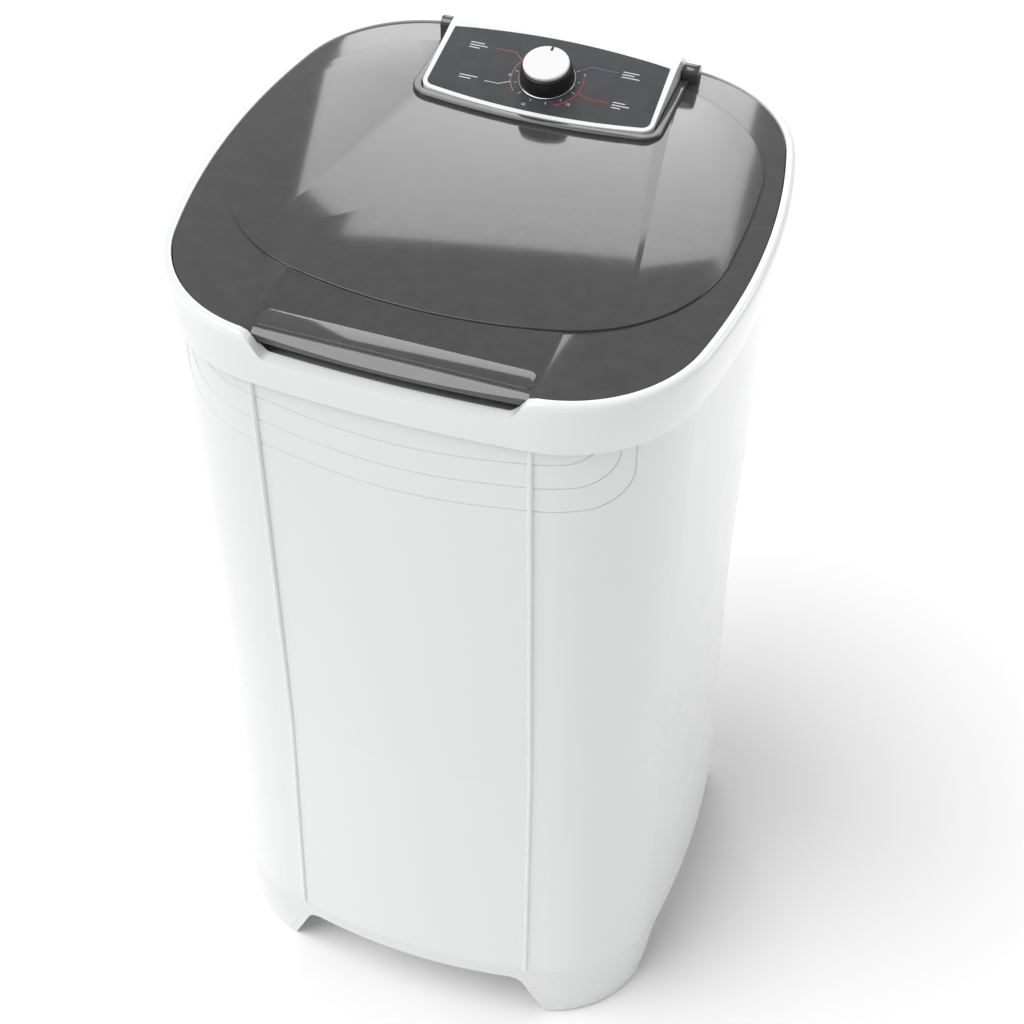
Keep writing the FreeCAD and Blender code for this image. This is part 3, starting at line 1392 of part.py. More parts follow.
def build_timer_and_knob():
    half = "timer_side / 2"
    body = on_fascia("timer_body")
    pad(body, "timer_case", "timer_depth", f"{TIMER_TOP} - timer_depth",
        polygon=rectangle(f"-{half}", half, f"-{half} + 4", f"{half} + 4"))
    drill(body, "timer_bore", [("timer_shaft_radius + running_gap", "0", "0")], f"{TIMER_TOP} - 16", "20")

    body = on_fascia("timer_shaft")
    pad(body, "timer_rod", f"knob_height - 6 - ({TIMER_TOP}) + 14", f"{TIMER_TOP} - 14",
        circles=[("timer_shaft_radius", "0", "0")])
    foot = f"{FASCIA_TOP} + knob_gap"
    body = on_fascia("knob_skirt")
    revolve(
        body,
        "skirt",
        (
            ("timer_shaft_radius", foot),
            ("knob_radius", foot),
            ("knob_radius", f"{foot} + 3"),
            ("knob_cap_radius + 1.5", "knob_height - 5", "3"),
            ("knob_cap_radius", "knob_height - 4"),
            ("timer_shaft_radius", "knob_height - 4"),
        ),
    )
    body = on_fascia("knob_ring")
    revolve(
        body,
        "ring",
        (
            ("knob_radius", foot),
            ("knob_radius + 1", foot),
            ("knob_radius + 1", f"{foot} + 1.6"),
            ("knob_radius", f"{foot} + 1.6"),
        ),
    )
    body = on_fascia("knob_cap")
    revolve(
        body,
        "dome",
        (
            ("0", "knob_height - 4"),
            ("knob_cap_radius", "knob_height - 4"),
            ("knob_cap_radius", "knob_height", "1.5"),
            ("0", "knob_height"),
        ),
    )
    notch = body_sketch(body, "notch_sketch", "XY_Plane", "knob_height - 0.8")
    draw_polygon(notch, rectangle("-1.4", "1.4", "knob_cap_radius - 6", "knob_cap_radius + 2"))
    pocket = body.newObject("PartDesign::Pocket", "notch")
    pocket.Profile = notch
    pocket.Reversed = True
    pocket.Length = 4
    body.Tip = pocket
    body = on_fascia("knob_pointer")
    pad(body, "pointer", "0.6", "knob_height - 0.8",
        polygon=rectangle("-1.4", "1.4", "knob_cap_radius - 6", "knob_cap_radius - 0.6"))


# ---------------------------------------------------------------- lid
LID_INSET = "recess_inset + lid_gap"
LID_TOP = "rim_top - lid_drop"
PLATEAU_TOP = f"{LID_TOP} + plateau_rise"
SKIRT_LOW = f"{LEDGE} + 2.5"
COLLAR_TOP = f"{PLATEAU_TOP} + collar_rise"


def plateau(name, low, high, step):
    """Raised inner panel, set back from the rim's middle, its sides leaning in."""
    sections = [
        outline(name + "_low", PLATEAU, low, step),
        outline(name + "_high", PLATEAU, high, f"{step} + plateau_rise * 0.7"),
    ]
    for section, z in zip(sections, (low, high)):
        place(section, "0", "plateau_shift", z)
    return loft(name, sections)


def build_lid():
    plate = prism("lid_plate", RIM, f"{LID_TOP} - lid_thickness", LID_TOP, LID_INSET)
    skirt = ring("lid_skirt", RIM, SKIRT_LOW, f"{LID_TOP} - 1", LID_INSET, f"{LID_INSET} + lid_skirt")
    raised = plateau("plateau_out", LID_TOP, PLATEAU_TOP, "0")
    overlap = plateau("plateau_root", f"{LID_TOP} - 1", f"{PLATEAU_TOP} - 1", "0")
    hollow = plateau("plateau_in", f"{LID_TOP} - lid_thickness - 0.5", f"{PLATEAU_TOP} - lid_thickness", "lid_thickness")
    grip_front = "-rim_half_depth + recess_inset + lid_gap + lip_run"
    pad_sketch = free_sketch("grip_sketch", z=f"{LID_TOP} - 1")
    draw_polygon(pad_sketch, (
        ("-grip_half", grip_front, "4"),
        ("grip_half", grip_front, "4"),
        ("grip_half", f"{grip_front} + grip_depth", "8"),
        ("-grip_half", f"{grip_front} + grip_depth", "8"),
    ))
    grip = extrude("grip_pad", pad_sketch, Vector(0, 0, 1), "grip_rise + 1")
    lip_block = common(
        "lip_block",
        box("lip_box", "-grip_half", "-rim_half_depth", SKIRT_LOW, "2 * grip_half",
            f"rim_half_depth + ({grip_front}) + 2", f"{LID_TOP} - ({SKIRT_LOW}) - 1"),
        prism("lip_plan", RIM, SKIRT_LOW, LID_TOP, LID_INSET),
    )
    wedge_sketch = free_sketch("lip_wedge_sketch", x="-grip_half", rotation=SIDE)
    draw_polygon(wedge_sketch, (
        (grip_front, LID_TOP),
        (f"{grip_front} - 2 * lip_run", f"{LID_TOP} - 2 * lip_drop"),
        (f"{grip_front} - 2 * lip_run", f"{LID_TOP} + 10"),
        (grip_front, f"{LID_TOP} + 10"),
    ))
    wedge = extrude("lip_wedge", wedge_sketch, Vector(1, 0, 0), "2 * grip_half")
    back = "rim_half_depth"
    collar = cut(
        "collar",
        console_plan("collar_out", SKIRT_LOW, COLLAR_TOP, "collar_gap + collar_wall", "hinge_y - ear_radius - 2"),
        console_plan("collar_in", f"{SKIRT_LOW} - 1", f"{COLLAR_TOP} + 1", "collar_gap", back),
    )
    notch = console_plan("lid_notch", f"{SKIRT_LOW} - 2", f"{COLLAR_TOP} + 2", "collar_gap", f"{back} + 20")
    ears, bores = [], []
    axis_z = "rim_top + hinge_rise"
    for name, x in (("left", "-console_half - collar_gap - ear_width"), ("right", "console_half + collar_gap")):
        ears.append(cylinder(f"ear_{name}", "ear_radius", "ear_width", x, "hinge_y", axis_z, "X"))
        ears.append(box(f"ear_root_{name}", x, "hinge_y - ear_radius", f"{LID_TOP} - lid_thickness",
                        "ear_width", "2 * ear_radius", f"{axis_z} - ({LID_TOP}) + lid_thickness"))
        bores.append(cylinder(f"ear_bore_{name}", "hinge_pin + running_gap", "ear_width + 2", f"{x} - 1",
                              "hinge_y", axis_z, "X"))
    solid = fuse("lid_solid", plate, skirt, raised, overlap, grip, lip_block, collar)
    trimmed = cut("lid_trimmed", solid, hollow_clear(hollow), wedge, notch)
    finish("lid_panel", cut("lid", fuse("lid_with_ears", trimmed, *ears), *bores))
    buffers = []
    for key, (sx, sy) in CORNERS.items():
        blank = ring(f"buffer_{key}_ring", RIM, f"{LEDGE} + fit_gap", SKIRT_LOW, f"{LID_INSET} + 0.2",
                     f"{LID_INSET} + lid_skirt")
        x = f"{sx} * (rim_half_width - 70) - 12"
        window = box(f"buffer_{key}_box", x, f"{sy} * (rim_half_depth / 2 + 45) - (1 - {sy}) * 45", LEDGE,
                     "24", "90", "6")
        buffers.append(common(f"buffer_{key}", blank, window))
    finish("lid_buffers", group("lid_buffer_set", buffers))


def hollow_clear(hollow):
    """Underside hollow of the raised panel, kept clear of the console notch and collar."""
    keep = console_plan("hollow_keep", f"{SKIRT_LOW} - 3", f"{COLLAR_TOP} + 3", "collar_gap + collar_wall",
                        "rim_half_depth + 20")
    return cut("plateau_hollow", hollow, keep)


def build_hinge_pins():
    for name, x in (("left", "-console_half - collar_gap - ear_width + 1"), ("right", "console_half - 18")):
        pin = cylinder(f"pin_{name}", "hinge_pin", "18 + collar_gap + ear_width - 1", x, "hinge_y",
                       "rim_top + hinge_rise", "X")
        finish(f"hinge_pin_{name}", pin)


# ---------------------------------------------------------------- build, check, write
def check_document():
    """Stop if any object failed or any sub-part has no sound shape."""
    for item in doc.Objects:
        assert "Invalid" not in item.State and "Error" not in item.State, (item.Label, item.State)
    assert len(nodes) <= 60
    for name, item in nodes.items():
        shape = item.Shape
        assert not shape.isNull() and shape.isValid() and shape.Solids, name


def write_parts():
    os.makedirs("parts", exist_ok=True)
    for name, item in nodes.items():
        item.Shape.exportStep(f"parts/{name}.step")


for build in (
    build_base,
    build_foot_pads,
    build_cabinet,
    build_top_frame,
    build_tub,
    build_drain_grille,
    build_lint_filter,
    build_agitator,
    build_shaft_line,
    build_mechanism_plate,
    build_motor,
    build_belt,
    build_electrics,
    build_harness,
    build_drain_line,
    build_console,
    build_fascia,
    build_timer_and_knob,
    build_lid,
    build_hinge_pins,
):
    build()
    doc.recompute()
    print(build.__name__, "done")
check_document()
write_parts()
print(len(nodes), "sub-parts written")
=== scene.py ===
"""Looks of a single-tub top-loading wash machine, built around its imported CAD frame."""

import json
import logging
import math
from dataclasses import dataclass
from enum import Enum, IntEnum
from typing import Sequence

import bmesh
import bpy
from mathutils import Matrix, Vector


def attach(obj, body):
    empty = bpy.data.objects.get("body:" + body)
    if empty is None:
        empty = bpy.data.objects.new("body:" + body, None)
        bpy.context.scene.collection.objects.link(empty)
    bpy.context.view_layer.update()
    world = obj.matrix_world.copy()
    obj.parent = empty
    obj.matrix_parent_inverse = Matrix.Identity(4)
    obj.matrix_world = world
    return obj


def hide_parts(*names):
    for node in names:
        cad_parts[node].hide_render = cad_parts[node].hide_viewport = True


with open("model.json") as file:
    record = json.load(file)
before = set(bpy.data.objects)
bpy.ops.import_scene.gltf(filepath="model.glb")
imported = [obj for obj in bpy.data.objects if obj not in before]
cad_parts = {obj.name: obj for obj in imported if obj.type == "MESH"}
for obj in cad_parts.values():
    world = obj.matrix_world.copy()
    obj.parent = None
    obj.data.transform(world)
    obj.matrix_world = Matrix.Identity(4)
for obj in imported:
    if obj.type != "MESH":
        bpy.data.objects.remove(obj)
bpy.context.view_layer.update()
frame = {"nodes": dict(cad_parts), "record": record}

LOG = logging.getLogger("wash_machine")
MM = 0.001
STEP = 0.05  # smallest height between two joined loops, mm
DUST_COLOUR = (0.62, 0.6, 0.57, 1.0)
BRUSH_SCALE = (40.0, 40.0, 900.0)  # lines across Z, fine along it
MERGE = 0.000002  # points nearer than this are one, metres
INK_LIFT = 0.02  # print's underside above the panel's sheet, mm
ROOT = 0.1  # how far a raised slab reaches into the sheet under it, mm
BULGE_RADIUS = 100.0  # a rounding past this radius is a bulge, mm
BULGE_STEPS = 8  # extra steps on a bulge
TURN_STEPS = 96  # steps of a full turn


class Body(str, Enum):
    """Rigid bodies that a piece can ride on."""

    MACHINE = "machine"
    LID = "lid"
    KNOB = "knob"
    AGITATOR = "agitator_drive"


class MixSocket(IntEnum):
    """Places of a colour Mix node's sockets."""

    FACTOR = 0
    RESULT = 2
    FIRST = 6
    SECOND = 7


# ------------------------------------------------------------------ shader groups
@dataclass(frozen=True)
class Socket:
    """One socket of a shader group.

    Args:
        name: label of the socket.
        kind: socket class name without its prefix, such as Float or Vector.
        default: starting value of an input, or None.
    """

    name: str
    kind: str = "Float"
    default: float | None = None


def new_group(name: str, inputs: Sequence[Socket], outputs: Sequence[Socket]) -> bpy.types.ShaderNodeTree:
    """Make an empty shader group with its sockets.

    Args:
        name: name of the group.
        inputs: sockets that go in.
        outputs: sockets that come out.

    Returns:
        The group's node tree, holding one input and one output node.
    """
    tree = bpy.data.node_groups.new(name, "ShaderNodeTree")
    for sockets, side in ((inputs, "INPUT"), (outputs, "OUTPUT")):
        for socket in sockets:
            made = tree.interface.new_socket(socket.name, in_out=side, socket_type="NodeSocket" + socket.kind)
            if socket.default is not None:
                made.default_value = socket.default
    tree.nodes.new("NodeGroupInput")
    tree.nodes.new("NodeGroupOutput")
    return tree


def ends(tree: bpy.types.ShaderNodeTree) -> tuple[bpy.types.Node, bpy.types.Node]:
    """Return the input node and the output node of a group."""
    find = {node.bl_idname: node for node in tree.nodes}
    return find["NodeGroupInput"], find["NodeGroupOutput"]


def mould_grain() -> bpy.types.ShaderNodeTree:
    """Shader group: fine moulded grain with slow waviness, from Object coordinates.

    Returns:
        Group with inputs Vector, Fine, Waves and outputs Height and Tone.
    """
    if "mould_grain" in bpy.data.node_groups:
        return bpy.data.node_groups["mould_grain"]
    tree = new_group(
        "mould_grain",
        (Socket("Vector", "Vector"), Socket("Fine", default=900.0), Socket("Waves", default=6.0)),
        (Socket("Height"), Socket("Tone")),
    )
    start, end = ends(tree)
    fine = tree.nodes.new("ShaderNodeTexNoise")
    waves = tree.nodes.new("ShaderNodeTexNoise")
    join = tree.nodes.new("ShaderNodeMath")
    join.operation = "MULTIPLY_ADD"
    join.inputs[1].default_value = 0.25
    fine.inputs["Detail"].default_value = 2.0
    waves.inputs["Detail"].default_value = 3.0
    tree.links.new(start.outputs["Vector"], fine.inputs["Vector"])
    tree.links.new(start.outputs["Vector"], waves.inputs["Vector"])
    tree.links.new(start.outputs["Fine"], fine.inputs["Scale"])
    tree.links.new(start.outputs["Waves"], waves.inputs["Scale"])
    tree.links.new(fine.outputs["Fac"], join.inputs[0])
    tree.links.new(waves.outputs["Fac"], join.inputs[2])
    tree.links.new(join.outputs[0], end.inputs["Height"])
    tree.links.new(waves.outputs["Fac"], end.inputs["Tone"])
    return tree


def settled_dust() -> bpy.types.ShaderNodeTree:
    """Shader group: thin dust that settles on faces that look up.

    Returns:
        Group with inputs Vector, Amount and output Mask.
    """
    if "settled_dust" in bpy.data.node_groups:
        return bpy.data.node_groups["settled_dust"]
    tree = new_group(
        "settled_dust", (Socket("Vector", "Vector"), Socket("Amount", default=0.1)), (Socket("Mask"),)
    )
    start, end = ends(tree)
    facing = tree.nodes.new("ShaderNodeNewGeometry")
    split = tree.nodes.new("ShaderNodeSeparateXYZ")
    upward = tree.nodes.new("ShaderNodeMapRange")
    upward.inputs["From Min"].default_value = 0.35
    flecks = tree.nodes.new("ShaderNodeTexNoise")
    flecks.inputs["Scale"].default_value = 55.0
    flecks.inputs["Detail"].default_value = 5.0
    patch = tree.nodes.new("ShaderNodeMapRange")
    patch.inputs["From Min"].default_value = 0.42
    patch.inputs["From Max"].default_value = 0.75
    both = tree.nodes.new("ShaderNodeMath")
    both.operation = "MULTIPLY"
    scaled = tree.nodes.new("ShaderNodeMath")
    scaled.operation = "MULTIPLY"
    tree.links.new(facing.outputs["Normal"], split.inputs[0])
    tree.links.new(split.outputs["Z"], upward.inputs["Value"])
    tree.links.new(start.outputs["Vector"], flecks.inputs["Vector"])
    tree.links.new(flecks.outputs["Fac"], patch.inputs["Value"])
    tree.links.new(upward.outputs[0], both.inputs[0])
    tree.links.new(patch.outputs[0], both.inputs[1])
    tree.links.new(both.outputs[0], scaled.inputs[0])
    tree.links.new(start.outputs["Amount"], scaled.inputs[1])
    tree.links.new(scaled.outputs[0], end.inputs["Mask"])
    return tree


def handling_marks() -> bpy.types.ShaderNodeTree:
    """Shader group: faint smears and rubs that change the gloss.

    Returns:
        Group with inputs Vector, Scale and output Mask.
    """
    if "handling_marks" in bpy.data.node_groups:
        return bpy.data.node_groups["handling_marks"]
    tree = new_group(
        "handling_marks", (Socket("Vector", "Vector"), Socket("Scale", default=14.0)), (Socket("Mask"),)
    )
    start, end = ends(tree)
    smear = tree.nodes.new("ShaderNodeTexNoise")
    smear.inputs["Detail"].default_value = 6.0
    smear.inputs["Distortion"].default_value = 0.6
    ramp = tree.nodes.new("ShaderNodeMapRange")
    ramp.inputs["From Min"].default_value = 0.38
    ramp.inputs["From Max"].default_value = 0.72
    tree.links.new(start.outputs["Vector"], smear.inputs["Vector"])
    tree.links.new(start.outputs["Scale"], smear.inputs["Scale"])
    tree.links.new(smear.outputs["Fac"], ramp.inputs["Value"])
    tree.links.new(ramp.outputs[0], end.inputs["Mask"])
    return tree


def brushed_lines() -> bpy.types.ShaderNodeTree:
    """Shader group: fine parallel lines of ground or brushed metal.

    Returns:
        Group with input Vector and output Height.
    """
    if "brushed_lines" in bpy.data.node_groups:
        return bpy.data.node_groups["brushed_lines"]
    tree = new_group("brushed_lines", (Socket("Vector", "Vector"),), (Socket("Height"),))
    start, end = ends(tree)
    stretch = tree.nodes.new("ShaderNodeVectorMath")
    stretch.operation = "MULTIPLY"
    stretch.inputs[1].default_value = BRUSH_SCALE
    lines = tree.nodes.new("ShaderNodeTexNoise")
    lines.inputs["Detail"].default_value = 2.0
    tree.links.new(start.outputs["Vector"], stretch.inputs[0])
    tree.links.new(stretch.outputs[0], lines.inputs["Vector"])
    lines.inputs["Scale"].default_value = 1.0
    tree.links.new(lines.outputs["Fac"], end.inputs["Height"])
    return tree


# ------------------------------------------------------------------ finishes
Colour = tuple[float, float, float]


@dataclass(frozen=True)
class Finish:
    """A finish that a piece is dressed in.

    Args:
        name: name of the finish.
        colour: main colour, linear.
        shade: second colour that the slow tone runs towards.
        tone: how far the tone runs towards the second colour.
        gloss: roughness where clean.
        rub: roughness where handled.
        fine: scale of the fine grain.
        grain: depth of the grain in metres.
        dust: share of dust on faces that look up.
        coat: clear coat weight.
        coat_gloss: roughness of the clear coat.
        bump: strength of the grain.
        metal: metallic weight.
    """

    name: str
    colour: Colour
    shade: Colour
    tone: float = 0.25
    gloss: float = 0.25
    rub: float = 0.34
    fine: float = 900.0
    grain: float = 0.00003
    dust: float = 0.05
    coat: float = 0.0
    coat_gloss: float = 0.06
    bump: float = 0.6
    metal: float = 0.0

    def material(self) -> bpy.types.Material:
        """Return the finish's material, made once."""
        known = bpy.data.materials.get(self.name)
        if known is not None and known.get("dressed"):
            return known
        made = bpy.data.materials.new(self.name)
        made["dressed"] = True
        made.use_nodes = True
        self.wire(made.node_tree)
        return made

    def wire(self, tree: bpy.types.ShaderNodeTree) -> bpy.types.Node:
        """Wire the finish's nodes.

        Args:
            tree: node tree of the material.

        Returns:
            The Principled node.
        """
        nodes, links = tree.nodes, tree.links
        shader = nodes["Principled BSDF"]
        place = nodes.new("ShaderNodeTexCoord").outputs["Object"]
        grain = nodes.new("ShaderNodeGroup")
        grain.node_tree = mould_grain()
        grain.inputs["Fine"].default_value = self.fine
        dust = nodes.new("ShaderNodeGroup")
        dust.node_tree = settled_dust()
        dust.inputs["Amount"].default_value = self.dust
        marks = nodes.new("ShaderNodeGroup")
        marks.node_tree = handling_marks()
        for group in (grain, dust, marks):
            links.new(place, group.inputs["Vector"])
        toned = nodes.new("ShaderNodeMix")
        toned.data_type = "RGBA"
        toned.inputs[MixSocket.FIRST].default_value = (*self.colour, 1.0)
        toned.inputs[MixSocket.SECOND].default_value = (*self.shade, 1.0)
        share = nodes.new("ShaderNodeMath")
        share.operation = "MULTIPLY"
        share.inputs[1].default_value = self.tone
        links.new(grain.outputs["Tone"], share.inputs[0])
        links.new(share.outputs[0], toned.inputs[MixSocket.FACTOR])
        dusty = nodes.new("ShaderNodeMix")
        dusty.data_type = "RGBA"
        dusty.inputs[MixSocket.SECOND].default_value = DUST_COLOUR
        links.new(toned.outputs[MixSocket.RESULT], dusty.inputs[MixSocket.FIRST])
        links.new(dust.outputs["Mask"], dusty.inputs[MixSocket.FACTOR])
        links.new(dusty.outputs[MixSocket.RESULT], shader.inputs["Base Color"])
        rough = nodes.new("ShaderNodeMapRange")
        rough.inputs["To Min"].default_value = self.gloss
        rough.inputs["To Max"].default_value = self.rub
        links.new(marks.outputs["Mask"], rough.inputs["Value"])
        links.new(rough.outputs[0], shader.inputs["Roughness"])
        bump = nodes.new("ShaderNodeBump")
        bump.inputs["Distance"].default_value = self.grain
        bump.inputs["Strength"].default_value = self.bump
        self.relief(tree, place, grain, bump)
        links.new(bump.outputs[0], shader.inputs["Normal"])
        shader.inputs["Coat Weight"].default_value = self.coat
        shader.inputs["Coat Roughness"].default_value = self.coat_gloss
        shader.inputs["Metallic"].default_value = self.metal
        return shader

    def relief(
        self,
        tree: bpy.types.ShaderNodeTree,
        place: bpy.types.NodeSocket,
        grain: bpy.types.Node,
        bump: bpy.types.Node,
    ) -> None:
        """Feed the bump's height.

        Args:
            tree: node tree of the material.
            place: Object coordinates.
            grain: the grain group node.
            bump: node that takes the height.
        """
        tree.links.new(grain.outputs["Height"], bump.inputs["Height"])


@dataclass(frozen=True)
class Brushed(Finish):
    """Metal with fine parallel lines."""

    metal: float = 1.0

    def relief(
        self,
        tree: bpy.types.ShaderNodeTree,
        place: bpy.types.NodeSocket,
        grain: bpy.types.Node,
        bump: bpy.types.Node,
    ) -> None:
        """Feed the bump with brushed lines.

        Args:
            tree: node tree of the material.
            place: Object coordinates.
            grain: the grain group node.
            bump: node that takes the height.
        """
        lines = tree.nodes.new("ShaderNodeGroup")
        lines.node_tree = brushed_lines()
        tree.links.new(place, lines.inputs["Vector"])
        tree.links.new(lines.outputs["Height"], bump.inputs["Height"])


@dataclass(frozen=True)
class Smoked(Finish):
    """Smoked see-through plastic.

    Args:
        clear: transmission weight.
        bend: index of refraction.
    """

    clear: float = 0.35
    bend: float = 1.46

    def wire(self, tree: bpy.types.ShaderNodeTree) -> bpy.types.Node:
        """Wire the smoked plastic.

        Args:
            tree: node tree of the material.

        Returns:
            The Principled node.
        """
        shader = super().wire(tree)
        shader.inputs["Transmission Weight"].default_value = self.clear
        shader.inputs["IOR"].default_value = self.bend
        return shader


class Finishes:
    """Every finish on the machine, by what it is on."""

    CABINET = Finish("cabinet_white", (0.83, 0.835, 0.84), (0.79, 0.795, 0.80), gloss=0.22, rub=0.27,
                     grain=0.00002, dust=0.02, coat=0.25)
    RIM = Finish("rim_white", (0.86, 0.865, 0.87), (0.82, 0.825, 0.83), gloss=0.18, rub=0.24,
                 grain=0.000015, dust=0.02, coat=0.4)
    BASE = Finish("base_white", (0.80, 0.805, 0.81), (0.74, 0.74, 0.745), gloss=0.26, rub=0.34,
                  grain=0.00003, dust=0.03, coat=0.15)
    LID = Smoked("lid_smoked", (0.085, 0.085, 0.087), (0.075, 0.075, 0.077), gloss=0.09, rub=0.11,
                 grain=0.000008, dust=0.03, coat=0.6, clear=0.28)
    FASCIA = Finish("fascia_dark", (0.042, 0.044, 0.05), (0.035, 0.037, 0.042), gloss=0.34, rub=0.42,
                    grain=0.00002, dust=0.02)
    CONSOLE = Finish("console_white", (0.86, 0.865, 0.87), (0.83, 0.835, 0.84), gloss=0.2, rub=0.26,
                     grain=0.00002, dust=0.02, coat=0.3)
    KNOB_CAP = Finish("knob_white", (0.84, 0.84, 0.845), (0.8, 0.8, 0.805), gloss=0.3, rub=0.36,
                      grain=0.00002, dust=0.02)
    KNOB_SKIRT = Finish("knob_black", (0.012, 0.012, 0.013), (0.02, 0.02, 0.02), gloss=0.28, rub=0.42,
                        grain=0.00003, dust=0.02)
    TRIM = Finish("knob_trim", (0.78, 0.79, 0.8), (0.7, 0.71, 0.72), gloss=0.12, rub=0.2, metal=1.0, dust=0.0)
    TUB = Finish("tub_plastic", (0.70, 0.72, 0.745), (0.62, 0.64, 0.67), tone=0.5, gloss=0.3, rub=0.4,
                 grain=0.00005, dust=0.0, coat=0.1)
    AGITATOR = Finish("agitator_plastic", (0.26, 0.4, 0.55), (0.22, 0.34, 0.48), gloss=0.3, rub=0.42,
                      grain=0.00004, dust=0.0, coat=0.1)
    RUBBER = Finish("rubber_dark", (0.018, 0.018, 0.019), (0.03, 0.03, 0.03), gloss=0.6, rub=0.8, fine=500.0,
                    grain=0.0001, dust=0.12)
    HOSE = Finish("rubber_grey", (0.13, 0.135, 0.14), (0.1, 0.1, 0.105), gloss=0.5, rub=0.7, fine=350.0,
                  grain=0.0001, dust=0.08)
    BELT = Finish("belt_rubber", (0.016, 0.016, 0.017), (0.03, 0.029, 0.028), gloss=0.6, rub=0.75, fine=420.0,
                  grain=0.0002, dust=0.1)
    GREY = Finish("plastic_grey", (0.16, 0.165, 0.175), (0.12, 0.125, 0.13), gloss=0.42, rub=0.55,
                  grain=0.00006)
    SLEEVE = Finish("harness_sleeve", (0.02, 0.02, 0.022), (0.035, 0.034, 0.033), gloss=0.5, rub=0.7,
                    fine=650.0, grain=0.00025)
    STEEL = Brushed("steel", (0.55, 0.56, 0.58), (0.45, 0.46, 0.48), gloss=0.26, rub=0.4, grain=0.00003)
    BEARING = Brushed("bearing_steel", (0.6, 0.61, 0.63), (0.5, 0.5, 0.52), gloss=0.14, rub=0.25,
                      grain=0.00002)
    PAINTED = Finish("plate_painted", (0.05, 0.052, 0.056), (0.07, 0.068, 0.066), gloss=0.4, rub=0.6,
                     fine=600.0, grain=0.00012, dust=0.15)
    CAST = Finish("cast_alloy", (0.5, 0.51, 0.52), (0.4, 0.4, 0.41), gloss=0.4, rub=0.6, fine=420.0,
                  grain=0.0003, metal=1.0, dust=0.08)
    LAMINATED = Brushed("laminations", (0.2, 0.2, 0.21), (0.12, 0.1, 0.09), gloss=0.45, rub=0.6,
                        grain=0.00012)
    PRINT = Finish("print_light", (0.7, 0.71, 0.72), (0.62, 0.63, 0.64), gloss=0.5, rub=0.6, dust=0.0)
    PRINT_WARM = Finish("print_warm", (0.42, 0.16, 0.06), (0.36, 0.13, 0.05), gloss=0.5, rub=0.6, dust=0.0)
    PRINT_BLUE = Finish("print_blue", (0.08, 0.22, 0.38), (0.06, 0.18, 0.33), gloss=0.5, rub=0.6, dust=0.0)
    PRINT_RED = Finish("print_red", (0.5, 0.03, 0.03), (0.42, 0.02, 0.02), gloss=0.5, rub=0.6, dust=0.0)

    BY_SLOT = {
        "cabinet_white": CABINET, "lid_smoked": LID, "fascia_dark": FASCIA, "knob_white": KNOB_CAP,
        "knob_black": KNOB_SKIRT, "knob_trim": TRIM, "tub_plastic": TUB, "agitator_plastic": AGITATOR,
        "rubber_dark": RUBBER, "rubber_grey": HOSE, "belt_rubber": BELT, "plastic_grey": GREY,
        "harness_sleeve": SLEEVE, "steel": STEEL, "bearing_steel": BEARING, "plate_painted": PAINTED,
        "cast_alloy": CAST, "laminations": LAMINATED,
    }


# ------------------------------------------------------------------ making pieces
def settle(
    mesh: bmesh.types.BMesh,
    name: str,
    body: Body,
    finish: Finish,
    replaced: Sequence[str] = (),
    crease: float = 35.0,
    outward: bool = True,
) -> bpy.types.Object:
    """Turn a finished bmesh into a dressed piece that rides on a body.

    Args:
        mesh: the bmesh, which is freed.
        name: name of the piece.
        body: body that it rides on.
        finish: finish that it wears.
        replaced: CAD nodes that it stands for.
        crease: angle in degrees past which an edge stays sharp.
        outward: whether the normals are worked out again.

    Returns:
        The new object.
    """
    if outward:
        bmesh.ops.recalc_face_normals(mesh, faces=mesh.faces[:])
    data = bpy.data.meshes.new(name)
    mesh.to_mesh(data)
    mesh.free()
    data.shade_smooth()
    data.set_sharp_from_angle(angle=math.radians(crease))
    data.materials.append(finish.material())
    piece = bpy.data.objects.new(name, data)
    bpy.context.scene.collection.objects.link(piece)
    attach(piece, body.value)
    if replaced:
        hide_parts(*replaced)
    LOG.info("%s: %d faces on %s", name, len(data.polygons), body.value)
    return piece


def soften(piece: bpy.types.Object, width: float, segments: int = 2, angle: float = 25.0) -> None:
    """Round a piece's sharp edges.

    Args:
        piece: object that gets the rounding.
        width: width of the rounding in metres.
        segments: steps across the rounding.
        angle: smallest edge angle in degrees that is rounded.
    """
    bevel = piece.modifiers.new("rounded_edges", "BEVEL")
    bevel.width = width
    bevel.segments = segments
    bevel.limit_method = "ANGLE"
    bevel.angle_limit = math.radians(angle)
    bevel.harden_normals = True
    bevel.use_clamp_overlap = True


def merged_copy(node: str, flat: float = 0.2) -> bmesh.types.BMesh:
    """Copy a CAD node's mesh into a bmesh with joined corners and flat faces made whole.

    Args:
        node: name of the CAD node.
        flat: largest angle in degrees inside a flat face.

    Returns:
        The bmesh.
    """
    mesh = bmesh.new()
    mesh.from_mesh(frame["nodes"][node].data)
    bmesh.ops.remove_doubles(mesh, verts=mesh.verts[:], dist=MERGE)
    bmesh.ops.dissolve_limit(
        mesh, angle_limit=math.radians(flat), verts=mesh.verts[:], edges=mesh.edges[:], delimit={"NORMAL"}
    )
    return mesh


def turned(profile: Sequence[tuple[float, float]], steps: int = TURN_STEPS) -> bmesh.types.BMesh:
    """Spin a profile about the Z axis.

    Args:
        profile: (radius, height) points in millimetres, in order.
        steps: steps of the full turn.

    Returns:
        The bmesh, in metres.
    """
    mesh = bmesh.new()
    points = [mesh.verts.new((r * MM, 0.0, z * MM)) for r, z in profile]
    lines = [mesh.edges.new(pair) for pair in zip(points, points[1:])]
    bmesh.ops.spin(
        mesh, geom=points + lines, cent=(0, 0, 0), axis=(0, 0, 1), angle=math.tau, steps=steps, use_merge=True
    )
    bmesh.ops.remove_doubles(mesh, verts=mesh.verts[:], dist=MERGE)
    return mesh


